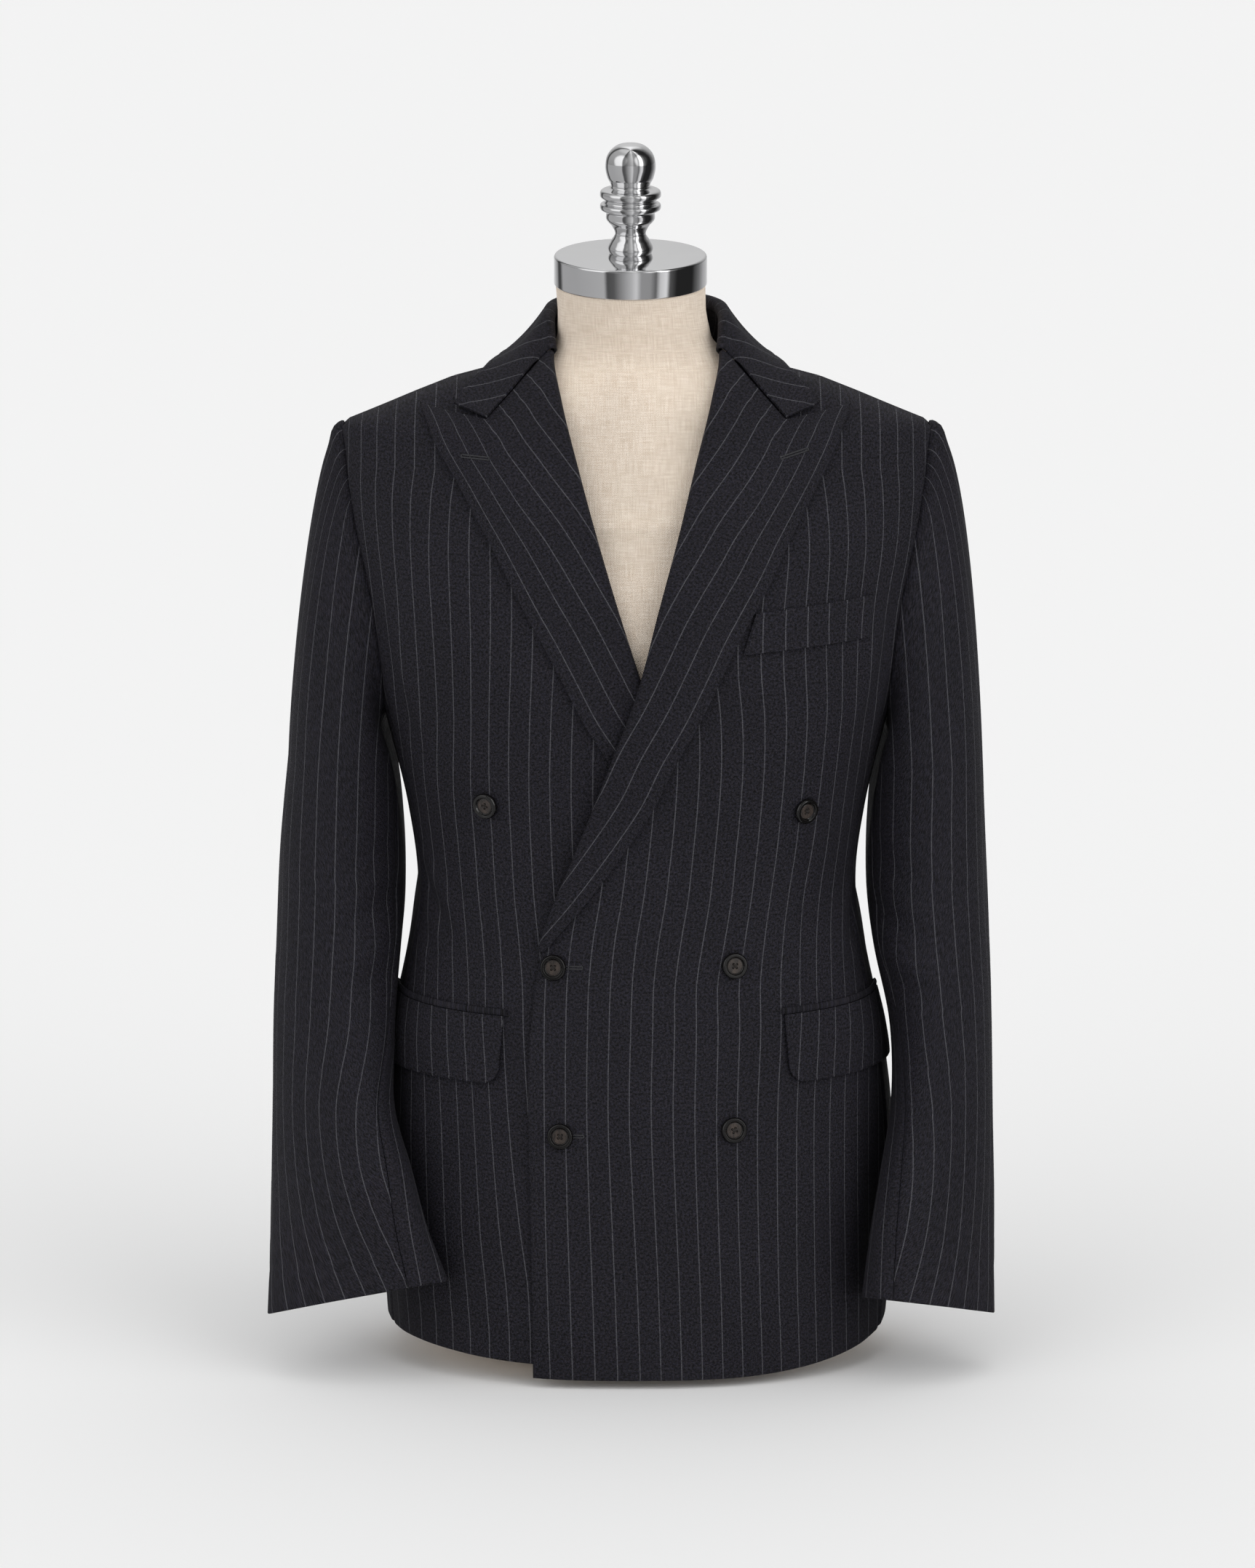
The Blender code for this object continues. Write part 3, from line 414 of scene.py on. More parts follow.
# %% Sleeves, collar, pockets, buttons, form
SLEEVE_COLUMNS = "down height mid_x mid_y half_width half_depth swing tilt_x tilt_y"
SLEEVES = {
    LEFT: Table(SLEEVE_COLUMNS, (
        (0.00, 0.470, 0.2229, 0.002, 0.0458, 0.076, 0.000, 0.00, 0.00),
        (0.17, 0.400, 0.2245, 0.002, 0.0476, 0.072, 0.000, 0.00, 0.00),
        (0.34, 0.330, 0.2281, -0.006, 0.0473, 0.070, 0.004, 0.00, -0.05),
        (0.51, 0.260, 0.2364, -0.022, 0.0407, 0.069, 0.008, 0.00, -0.12),
        (0.65, 0.200, 0.2370, -0.042, 0.0411, 0.064, 0.020, -0.03, -0.18),
        (0.77, 0.150, 0.2332, -0.062, 0.0456, 0.058, 0.028, -0.06, -0.22),
        (0.89, 0.100, 0.2289, -0.080, 0.0496, 0.052, 0.028, -0.10, -0.25),
        (1.00, 0.052, 0.2257, -0.094, 0.0526, 0.046, 0.020, -0.12, -0.27),
    )),
    RIGHT: Table(SLEEVE_COLUMNS, (
        (0.00, 0.470, 0.2256, 0.002, 0.0447, 0.076, 0.000, 0.00, 0.00),
        (0.17, 0.400, 0.2282, 0.002, 0.0492, 0.072, 0.000, 0.00, 0.00),
        (0.34, 0.330, 0.2303, -0.008, 0.0506, 0.068, 0.004, 0.00, -0.05),
        (0.51, 0.260, 0.2329, -0.027, 0.0504, 0.064, 0.012, 0.00, -0.12),
        (0.65, 0.200, 0.2350, -0.050, 0.0491, 0.058, 0.028, -0.05, -0.18),
        (0.77, 0.152, 0.2285, -0.072, 0.0558, 0.050, 0.033, -0.10, -0.22),
        (0.89, 0.104, 0.2222, -0.094, 0.0625, 0.038, 0.025, -0.15, -0.25),
        (1.00, 0.0630, 0.2144, -0.112, 0.0708, 0.026, 0.010, -0.185, -0.27),
    )),
}
SLEEVE_SPRING = {LEFT: 0.034, RIGHT: 0.010}   # how much rounder the cap is outside
SLEEVE_CAP = 0.36        # share of a sleeve's rows above the upper arm
SEAM_GAP_ANGLE = SEAM_GAP / 2 / 0.030   # half a seam gap round a slim cuff
# Where the sleeve's two seams lie round it, at the armhole and going down.
SLEEVE_SEAMS = Table("along fore hind", (
    (0.00, 150.0, 250.0),
    (0.36, 152.0, 245.0),
    (0.70, 146.0, 240.0),
    (0.85, 133.0, 236.0),
    (1.00, 124.0, 232.0),
))
SLEEVE_CLEAR = 0.0055    # a sleeve that touches the body stays this far off it

# The collar's fold, and where on the body its free edge lies, from the gorge
# to the centre back.
COLLAR = Table("around fold_x fold_y fold_z leaf_turn leaf_height", (
    (0.00, 0.0655, -0.0315, 0.7850, 48.0, 0.7455),
    (0.12, 0.0665, -0.0240, 0.7935, 51.4, 0.7530),
    (0.25, 0.0668, -0.0130, 0.8025, 61.0, 0.7640),
    (0.42, 0.0665, 0.0020, 0.8090, 83.5, 0.7712),
    (0.60, 0.0610, 0.0260, 0.8140, 112.0, 0.7725),
    (0.80, 0.0400, 0.0520, 0.8165, 143.0, 0.7725),
    (1.00, 0.0000, 0.0630, 0.8170, 180.0, 0.7720),
))
STAND_REACH = 0.90       # how far round to the gorge the collar's stand runs
STAND_TOP = 0.925        # share of the way up to the fold where it ends

# Pocket corners on the front, as distance from the centre line and height.
WELT = ((0.0895, 0.5985), (0.0800, 0.5680), (0.1770, 0.5755), (0.1800, 0.6070))
FLAP_TOP, FLAP_BOTTOM = 0.2872, 0.2350
FLAP_FRONT = {LEFT: 0.1123, RIGHT: 0.1010}
FLAP_END_TURN = 86.0
FLAP_ROUND = 0.013
JET_HEIGHT = 0.0052

BUTTONS = (              # side, distance from the centre line, height
    ("upper_left", LEFT, 0.1285, 0.4429),
    ("upper_right", RIGHT, 0.1143, 0.4487),
    ("middle_left", LEFT, 0.0744, 0.3270),
    ("middle_right", LEFT, -0.0624, 0.3265),
    ("lower_left", LEFT, 0.0741, 0.2023),
    ("lower_right", LEFT, -0.0576, 0.1985),
)

FORM = Table("height half_width front back middle_y", (
    (0.660, 0.2000, 0.0995, 0.1115, 0.000),
    (0.700, 0.1970, 0.0820, 0.1000, 0.000),
    (0.722, 0.1920, 0.0720, 0.0900, 0.000),
    (0.744, 0.1822, 0.0642, 0.0826, 0.000),
    (0.762, 0.1345, 0.0550, 0.0740, 0.000),
    (0.770, 0.1020, 0.0500, 0.0690, 0.000),
    (0.778, 0.0780, 0.0470, 0.0640, 0.000),
    (0.790, 0.0620, 0.0470, 0.0590, -0.002),
    (0.804, 0.0580, 0.0510, 0.0560, -0.005),
    (0.818, 0.0565, 0.0540, 0.0550, -0.008),
))
FINIAL_PROFILE = (       # radius, height above the cap
    (0.0000, 0.0000), (0.0160, 0.0000), (0.0172, 0.0037), (0.0150, 0.0093), (0.0118, 0.0153),
    (0.0140, 0.0208), (0.0186, 0.0268), (0.0190, 0.0324), (0.0229, 0.0344), (0.0229, 0.0379),
    (0.0200, 0.0396), (0.0200, 0.0421), (0.0230, 0.0439), (0.0230, 0.0476), (0.0150, 0.0518),
    (0.0178, 0.0592), (0.0192, 0.0671), (0.0170, 0.0768), (0.0100, 0.0833), (0.0000, 0.0849),
)
SLEEVE_TUCK = 0.0022     # a sleeve's edge is sewn in this far under the armhole's
print("buttons", len(BUTTONS))


# %% The body's surface
def smooth(t):
    """Rises from 0 to 1 with no corner at either end."""
    t = np.clip(t, 0.0, 1.0)
    return t * t * (3.0 - 2.0 * t)


def unit(v):
    return v / np.maximum(np.linalg.norm(v, axis=-1, keepdims=True), 1e-12)


def ring(height):
    """Half width, front depth, back depth and squareness at a height."""
    width = np.minimum(BODY.at("half_width", height), SHOULDER.at("half_width", height))
    return width, BODY.at("front", height), BODY.at("back", height), BODY.at("squareness", height)


def body_face(height, turn):
    """A point of the jacket's outer face, turn in radians from centre front."""
    width, front, back, square = ring(height)
    s, c = np.sin(turn), np.cos(turn)
    q = (np.abs(s) ** square + np.abs(c) ** square) ** (1.0 / square)
    depth = np.where(c > 0, front, back)
    return np.stack([width * s / q, -depth * c / q, np.asarray(height) + 0.0 * s], axis=-1)


def body(height, turn, out=0.0):
    """The same point moved out along the face's normal."""
    e = 1e-3
    round_step = body_face(height, turn + e) - body_face(height, turn - e)
    up_step = body_face(height + e, turn) - body_face(height - e, turn)
    normal = unit(np.cross(round_step, up_step))
    return body_face(height, turn) + normal * np.asarray(out)[..., None]


def turn_at(height, x):
    """How far round the front a distance from the centre line lies."""
    width, _, _, square = ring(height)
    share = np.clip(np.abs(x) / width, 0.0, 1.0)
    return np.sign(x) * np.arctan2(share, (1.0 - share**square) ** (1.0 / square))


def gap_turn(height, turn, gap=SEAM_GAP / 2):
    """The turn that a seam's half gap takes up here."""
    speed = np.linalg.norm(body_face(height, turn + 1e-3) - body_face(height, turn - 1e-3), axis=-1)
    return gap * 2e-3 / speed


def lap_lift(side, x, height):
    """How far a front rises or sinks where one laps over the other."""
    if side == LEFT:
        return LAP_RISE * (1.0 - smooth((x + LAP_REACH) / LAP_REACH))
    sink = LAP_SINK * smooth((LAP_REACH - x) / LAP_REACH)
    return -sink * (1.0 - smooth((height - 0.590) / 0.110))


# %% [markdown]
# ## Creases
#
# Worn cloth is never quite smooth. A crease is a soft trough or ridge along a short line, deepest
# on the line and gone within a finger's width. Cloth simulation would find its own folds, but here
# each has its place on the real jacket, so they are listed one by one: the drag from the waist
# button, the breaks in front of the arm, the small of the back, and the fullness of the skirt.


# %% Creases of the body
GIRTH_STEP = 0.19        # metres of cloth for each radian round, on average
CREASES = {
    LEFT: (              # round, height, round, height, half width, depth
        (0.262, 0.372, 0.225, 0.334, 0.007, -0.0020), (0.252, 0.386, 0.212, 0.352, 0.008, 0.0014),
        (0.245, 0.345, 0.205, 0.318, 0.007, -0.0012), (0.208, 0.610, 0.196, 0.500, 0.012, -0.0018),
        (0.188, 0.590, 0.180, 0.500, 0.012, 0.0012), (0.120, 0.240, 0.132, 0.030, 0.020, 0.0016),
        (0.200, 0.230, 0.215, 0.020, 0.018, -0.0016), (0.020, 0.190, 0.040, 0.020, 0.022, -0.0012),
        (-0.030, 0.316, 0.045, 0.306, 0.010, -0.0010), (0.150, 0.700, 0.165, 0.640, 0.012, -0.0009),
        (0.330, 0.400, 0.285, 0.352, 0.009, -0.0019), (0.345, 0.372, 0.300, 0.330, 0.009, 0.0014),
        (0.300, 0.200, 0.312, 0.020, 0.020, 0.0018), (0.365, 0.190, 0.372, 0.020, 0.018, -0.0018),
        (0.440, 0.382, 0.560, 0.396, 0.009, -0.0020), (0.430, 0.360, 0.535, 0.366, 0.009, 0.0016),
        (0.450, 0.340, 0.570, 0.350, 0.008, -0.0014), (0.455, 0.640, 0.480, 0.480, 0.020, 0.0017),
        (0.415, 0.600, 0.430, 0.500, 0.014, -0.0016), (0.470, 0.230, 0.480, 0.020, 0.022, 0.0018),
        (0.530, 0.200, 0.535, 0.020, 0.018, -0.0014), (0.520, 0.742, 0.585, 0.748, 0.008, -0.0012),
    ),
    RIGHT: (
        (0.236, 0.384, 0.172, 0.340, 0.007, -0.0026), (0.230, 0.400, 0.168, 0.358, 0.008, 0.0018),
        (0.240, 0.352, 0.190, 0.322, 0.007, -0.0014), (0.206, 0.600, 0.192, 0.490, 0.012, -0.0022),
        (0.186, 0.585, 0.174, 0.490, 0.013, 0.0014), (0.140, 0.230, 0.150, 0.020, 0.020, -0.0016),
        (0.190, 0.220, 0.212, 0.020, 0.018, 0.0016), (0.100, 0.210, 0.096, 0.040, 0.016, 0.0010),
        (0.128, 0.690, 0.152, 0.640, 0.012, -0.0009), (0.120, 0.540, 0.150, 0.470, 0.014, -0.0008),
        (0.325, 0.410, 0.280, 0.366, 0.009, -0.0021), (0.340, 0.382, 0.296, 0.340, 0.008, 0.0015),
        (0.290, 0.210, 0.300, 0.020, 0.018, -0.0018), (0.350, 0.200, 0.362, 0.020, 0.020, 0.0018),
        (0.435, 0.392, 0.550, 0.388, 0.009, -0.0018), (0.440, 0.369, 0.560, 0.360, 0.008, 0.0015),
        (0.430, 0.346, 0.545, 0.342, 0.009, -0.0016), (0.450, 0.630, 0.472, 0.470, 0.020, 0.0018),
        (0.410, 0.610, 0.424, 0.520, 0.014, -0.0014), (0.480, 0.220, 0.474, 0.020, 0.020, -0.0015),
        (0.540, 0.210, 0.545, 0.020, 0.020, 0.0015), (0.530, 0.748, 0.585, 0.744, 0.008, -0.0010),
    ),
}


def crease_sum(creases, across, along):
    """Each crease is depth times a bell of the distance from its line; they add up."""
    total = 0.0 * across
    for x0, z0, x1, z1, width, depth in creases:
        run_x, run_z = x1 - x0, z1 - z0
        share = ((across - x0) * run_x + (along - z0) * run_z) / (run_x**2 + run_z**2)
        share = np.clip(share, 0.0, 1.0)
        far = np.hypot(across - x0 - run_x * share, along - z0 - run_z * share)
        strongest = 0.35 + 0.65 * np.sin(math.pi * share)
        total = total + depth * strongest * np.exp(-((far / width) ** 2))
    return total


def body_crease(side, height, turn):
    """The body's creases at a height and turn."""
    return crease_sum(CREASES[side], turn * GIRTH_STEP, height + 0.0 * turn)


print("creases laid by hand:", sum(len(c) for c in CREASES.values()))


# %% The panels as surfaces
def on_front(side, x, height, out=0.0):
    """A point on a front, x from the centre line towards its own side."""
    turn = turn_at(height, x)
    lift = lap_lift(side, x, height) + body_crease(side, height, turn) + out
    return body(height, turn, lift) * np.array([side, 1.0, 1.0])


def armhole_border(fore):
    """Heights going up and turns of the armhole's front or back half."""
    angle = np.linspace(0.0, 180.0, 181) if fore else np.linspace(360.0, 180.0, 181)
    height = ARMHOLE.at("height", angle)[::-1]
    turn = np.radians(ARMHOLE.at("turn", angle))[::-1]
    return height, turn


def outer_border(height, fore):
    """Side seam, armhole, then shoulder seam: a panel's outer border."""
    heights, turns = armhole_border(fore)
    seam = math.radians(FRONT_SEAM if fore else BACK_SEAM)
    above = turns <= seam if fore else turns >= seam
    start = int(np.argmax(above))
    return np.interp(height, heights[start:], turns[start:], left=seam, right=math.pi / 2)


def hem_raise(name, height, turn):
    return HEM.at(name, np.degrees(turn)) * (1.0 - smooth(height / HEM_BLEND))


def front_panel(side):
    """A front, from its edge and roll line to the side seam and armhole."""
    def face(u, v):
        height = u * NECK_HEIGHT
        inner = turn_at(height, FRONT_EDGE.at(LAP[side], height))
        outer = outer_border(height, True)
        inner = inner + gap_turn(height, inner)
        outer = outer - gap_turn(height, outer)
        turn = inner + (outer - inner) * v
        height = height + hem_raise(LAP[side], height, turn)
        x = body_face(height, turn)[..., 0]
        lift = lap_lift(side, x, height) + body_crease(side, height, turn)
        return body(height, turn, lift) * np.array([side, 1.0, 1.0])

    return face


def side_panel(side):
    """The side body, from the hem to the foot of the armhole."""
    angle = np.linspace(120.0, 250.0, 131)
    foot_turn = np.radians(ARMHOLE.at("turn", angle))
    foot_height = ARMHOLE.at("height", angle) - SEAM_GAP / 2

    def face(u, v):
        start, end = math.radians(FRONT_SEAM), math.radians(BACK_SEAM)
        height = u * SIDE_TOP
        start = start + gap_turn(height, start)
        end = end - gap_turn(height, end)
        turn = start + (end - start) * v
        top = np.interp(turn, foot_turn, foot_height)
        climb = np.clip((height - SIDE_LEVEL) / (SIDE_TOP - SIDE_LEVEL), 0.0, 1.0)
        height = np.minimum(height, SIDE_LEVEL) + (top - SIDE_LEVEL) * climb
        height = height + hem_raise(LAP[side], height, turn)
        return body(height, turn, body_crease(side, height, turn)) * np.array([side, 1.0, 1.0])

    return face


def back_panel(side):
    """Half the back, from side seam and armhole to the centre back seam."""
    def face(u, v):
        height = u * NECK_HEIGHT
        outer = outer_border(height, False)
        outer = outer + gap_turn(height, outer)
        centre = math.pi - gap_turn(height, np.full_like(height, math.pi))
        turn = outer + (centre - outer) * v
        height = height + hem_raise("over", height, turn)
        return body(height, turn, body_crease(side, height, turn)) * np.array([side, 1.0, 1.0])

    return face


def fold_over(start, across, normal, share):
    """The outer face of a fold's half turn, from inside the cloth to over it."""
    angle = math.pi * share[..., None]
    reach = FOLD_RADIUS + CLOTH / 2
    rise = FOLD_RADIUS - CLOTH / 2 - reach * np.cos(angle)
    return start + normal * rise - across * reach * np.sin(angle)


def fold_and_leaf(w):
    """A piece's share of the way round its fold, and then across its leaf."""
    share = np.clip(w / FOLD_SHARE, 0.0, 1.0)
    return share, np.clip((w - FOLD_SHARE) / (1.0 - FOLD_SHARE), 0.0, 1.0)


def leaf_lift(u, free):
    """How far a turned leaf's outer face stands off the front, fold to edge."""
    return free + (2 * FOLD_RADIUS - free) * (1.0 - u) ** 1.6


def lapel_place(side, u, v):
    """Distance and height on the front of a place on the lapel's leaf."""
    roll_z = LAPEL_LOW + (LAPEL_TOP - LAPEL_LOW) * v
    roll_x = FRONT_EDGE.at(LAP[side], roll_z)
    leaf_z = LAPEL_LOW + (PEAK[1] - LAPEL_LOW) * v
    leaf_x = LEAF_EDGE.at(LAP[side], leaf_z)
    knots = np.array([0.0, 0.28, 0.56, 1.0])
    top = np.array([GORGE[0], GORGE[1], GORGE[2], PEAK]) - GORGE_GAP
    top_x = np.interp(u, knots, top[:, 0])
    top_z = np.interp(u, knots, top[:, 1])
    bend = smooth((v - 0.55) / 0.45)
    x = roll_x + (leaf_x - roll_x) * u
    z = roll_z + (leaf_z - roll_z) * u
    flat_x = top[0, 0] + (top[-1, 0] - top[0, 0]) * u
    flat_z = top[0, 1] + (top[-1, 1] - top[0, 1]) * u
    return x + bend * (top_x - flat_x), z + bend * (top_z - flat_z)


def lapel(side):
    """A peak lapel: the front turned over at its roll line, lying on it."""
    def leaf(u, v):
        x, z = lapel_place(side, u, v)
        return on_front(side, x, z, leaf_lift(u, LEAF_LIFT))

    def face(w, v):
        share, u = fold_and_leaf(w)
        x, z = lapel_place(side, 0.0 * v, v)
        start = on_front(side, x, z)
        x2, z2 = lapel_place(side, 0.0 * v + 0.02, v)
        across = unit(on_front(side, x2, z2) - start)
        normal = unit(on_front(side, x, z, 0.001) - start)
        fold = fold_over(start, across, normal, share)
        return np.where((w < FOLD_SHARE)[..., None], fold, leaf(u, v))

    return face


def mirrored(around):
    """Turns a point of the wearer's left to the side that around is on."""
    side = np.where(around < 0, -1.0, 1.0)
    return np.stack([side, np.ones_like(side), np.ones_like(side)], axis=-1)


def collar_fold(around):
    """The collar's fold line, around 0 at the centre back, 1 at the gorge."""
    near = 1.0 - np.abs(around)
    line = np.stack([COLLAR.at(name, near) for name in ("fold_x", "fold_y", "fold_z")], axis=-1)
    return line * mirrored(around)


def collar(w, v):
    """The collar's fall, from the fold's inside over and down to its edge."""
    around = 2.0 * v - 1.0
    near = 1.0 - np.abs(around)
    share, u = fold_and_leaf(w)
    fold = collar_fold(around)
    leaf = body(COLLAR.at("leaf_height", near), np.radians(COLLAR.at("leaf_turn", near)),
                np.full_like(near, COLLAR_LIFT)) * mirrored(around)
    down = unit(leaf - fold)
    along = collar_fold(np.clip(around + 1e-3, -1, 1)) - collar_fold(np.clip(around - 1e-3, -1, 1))
    normal = unit(np.cross(along, down))
    dip = COLLAR_DIP * np.sin(math.pi * u) * np.exp(-(((near - 0.42) / 0.14) ** 2))
    rise = 2 * FOLD_RADIUS * (1.0 - u) - dip
    fall = fold + (leaf - fold) * u[..., None] + normal * rise[..., None]
    knots = np.array([0.0, 0.36, 0.72, 1.0])
    gorge = np.array([GORGE[0], GORGE[1], GORGE[2], COLLAR_POINT])
    x, z = np.interp(u, knots, gorge[:, 0]), np.interp(u, knots, gorge[:, 1])
    tip = body(z, turn_at(z, x), leaf_lift(u, COLLAR_LIFT)) * mirrored(around)
    fall = fall + (1.0 - smooth(near / COLLAR_BLEND))[..., None] * (tip - fall)
    return np.where((w < FOLD_SHARE)[..., None], fold_over(fold, down, normal, share), fall)


def stand(w, v):
    """The collar's stand, from the neck seam up to the inside of the fold."""
    around = (2.0 * v - 1.0) * STAND_REACH
    first = turn_at(NECK_HEIGHT, GORGE[0][0])
    turn = first + (math.pi - first) * (1.0 - np.abs(around)) ** 0.9
    foot = body(np.full_like(turn, NECK_HEIGHT), turn) * mirrored(around)
    foot = foot + np.array([0.0, 0.0, 2 * SEAM_GAP])
    return foot + (collar_fold(around) - foot) * (STAND_TOP * w)[..., None]


def clear_of_body(point, weight):
    """Moves what presses into the body out to just clear of it."""
    width, front, back, square = ring(point[..., 2])
    depth = np.where(point[..., 1] < 0, front, back) + SLEEVE_CLEAR
    share = ((np.abs(point[..., 0]) / (width + SLEEVE_CLEAR)) ** square
             + (np.abs(point[..., 1]) / depth) ** square) ** (1.0 / square)
    soft = 0.5 * (share + 1.0 + np.sqrt((share - 1.0) ** 2 + 0.02**2))
    scale = 1.0 + weight * (soft / np.maximum(share, 0.2) - 1.0)
    return point * np.stack([scale, scale, np.ones_like(scale)], axis=-1)


def sleeve_tube(table, down, angle):
    """A ring of the sleeve, angle 0 outside, 90 degrees in front."""
    c, s = np.cos(angle), np.sin(angle)
    dx = table.at("half_width", down) * c
    dy = table.at("swing", down) * c - table.at("half_depth", down) * s
    rise = table.at("tilt_x", down) * dx + table.at("tilt_y", down) * dy
    return np.stack([table.at("mid_x", down) + dx, table.at("mid_y", down) + dy,
                     table.at("height", down) + rise], axis=-1)


def sleeve(side, along, angle):
    """The sleeve: its cap springs from the armhole and runs into the tube."""
    table = SLEEVES[side]
    degrees = np.degrees(angle) % 360.0
    turn, height = np.radians(ARMHOLE.at("turn", degrees)), ARMHOLE.at("height", degrees)
    hole = body(height, turn, -SLEEVE_TUCK)
    middle = np.array([hole[..., 0].mean(), 0.005, 0.612])
    toward = unit((middle - hole) * np.array([0.0, 1.0, 1.0]))
    hole = hole - toward * SLEEVE_TUCK
    c, s = np.cos(angle), np.sin(angle)
    down = np.clip((along - SLEEVE_CAP) / (1.0 - SLEEVE_CAP), 0.0, 1.0)
    upper_arm = sleeve_tube(table, 0.0 * down, angle)
    drop = hole[..., 2] - upper_arm[..., 2]
    spring = np.stack([0.046 + SLEEVE_SPRING[side] * c, -0.020 * s, -0.022 + 0.026 * c], axis=-1)
    settle = np.stack([0.006 + 0.006 * c, 0.0 * c, -1.1 * drop], axis=-1)
    t = np.clip(along / SLEEVE_CAP, 0.0, 1.0)[..., None]
    cap = ((2 * t**3 - 3 * t**2 + 1) * hole + (t**3 - 2 * t**2 + t) * spring
           + (3 * t**2 - 2 * t**3) * upper_arm + (t**3 - t**2) * settle)
    tube = sleeve_tube(table, down, angle)
    point = np.where((along < SLEEVE_CAP)[..., None], cap, tube)
    point = clear_of_body(point, smooth((along - 0.02) / 0.20))
    return point * np.array([side, 1.0, 1.0])


def sleeve_panel(side, upper):
    """Top sleeve from seam to seam over the outside, or the under sleeve."""
    def face(u, v):
        fore = np.radians(SLEEVE_SEAMS.at("fore", u))
        hind = np.radians(SLEEVE_SEAMS.at("hind", u))
        if upper:
            start, end = hind - 2 * math.pi + SEAM_GAP_ANGLE, fore - SEAM_GAP_ANGLE
        else:
            start, end = fore + SEAM_GAP_ANGLE, hind - SEAM_GAP_ANGLE
        return sleeve(side, u, start + (end - start) * v)

    return face


def flap(side):
    """A hip pocket's flap: it hangs from the jet, with round lower corners."""
    def face(u, v):
        height = FLAP_TOP + (FLAP_BOTTOM - FLAP_TOP) * u
        low = np.clip((FLAP_BOTTOM + FLAP_ROUND - height) / FLAP_ROUND, 0.0, 1.0)
        inset = FLAP_ROUND * (1.0 - np.sqrt(1.0 - (0.98 * low) ** 2))
        start = turn_at(height, FLAP_FRONT[side] + 0.004 * u + inset)
        end = math.radians(FLAP_END_TURN) - inset / 0.15
        turn = start + (end - start) * v
        lift = 0.0030 + 0.0012 * np.sin(math.pi * 0.5 * u) + body_crease(side, height, turn)
        x = body_face(height, turn)[..., 0]
        return body(height, turn, lap_lift(side, x, height) + lift) * np.array([side, 1.0, 1.0])

    return face


def jet(side):
    """The narrow jetting over a flap."""
    def face(u, v):
        height = FLAP_TOP + SEAM_GAP + JET_HEIGHT * (1.0 - u)
        start = turn_at(height, FLAP_FRONT[side] - 0.002)
        turn = start + (math.radians(FLAP_END_TURN + 0.5) - start) * v
        x = body_face(height, turn)[..., 0]
        lift = lap_lift(side, x, height) + 0.0029 + body_crease(side, height, turn)
        return body(height, turn, lift) * np.array([side, 1.0, 1.0])

    return face


def welt(u, v):
    """The breast pocket's slanting welt, on the wearer's left front."""
    corners = np.array(WELT)
    left = corners[0] + (corners[1] - corners[0]) * u[..., None]
    right = corners[3] + (corners[2] - corners[3]) * u[..., None]
    place = left + (right - left) * v[..., None]
    return on_front(LEFT, place[..., 0], place[..., 1], 0.0028)


def form_ring(height, turn):
    """The form's own surface: inside the jacket, then shoulders and neck."""
    width, front, back, square = ring(height)
    low = FORM.rows[0, 0]
    inset = FORM_INSET + FORM_TUCK * (1.0 - np.clip(height / FORM_TUCK_HEIGHT, 0.0, 1.0)) ** 2
    inside = (width - inset, front - inset, back - inset, square, 0.0 * height)
    above = (FORM.at("half_width", height), FORM.at("front", height), FORM.at("back", height),
             2.1 + 0.0 * height, FORM.at("middle_y", height))
    blend = smooth((height - (low - 0.05)) / 0.05)
    width, front, back, square, middle = (a + (b - a) * blend for a, b in zip(inside, above))
    s, c = np.sin(turn), np.cos(turn)
    q = (np.abs(s) ** square + np.abs(c) ** square) ** (1.0 / square)
    depth = np.where(c > 0, front, back)
    lean = CAP_CENTRE[0] * smooth((height - 0.76) / 0.08)
    return np.stack([lean + width * s / q, middle - depth * c / q, height + 0.0 * s], axis=-1)


# %% [markdown]
# ## Where the stripes run
#
# The stripes are woven into the cloth, so they follow each piece as it was cut and don't run on
# across a seam. On a front they are nearly upright, but the waist dart takes some in and the chest
# spreads them. So their places are kept as distances round the body at several heights, and a point
# of cloth is given its stripe number: 4.0 is on the fourth stripe, 4.5 half way to the next. That
# number is the first of the piece's two UV coordinates; the second is metres along the stripe.


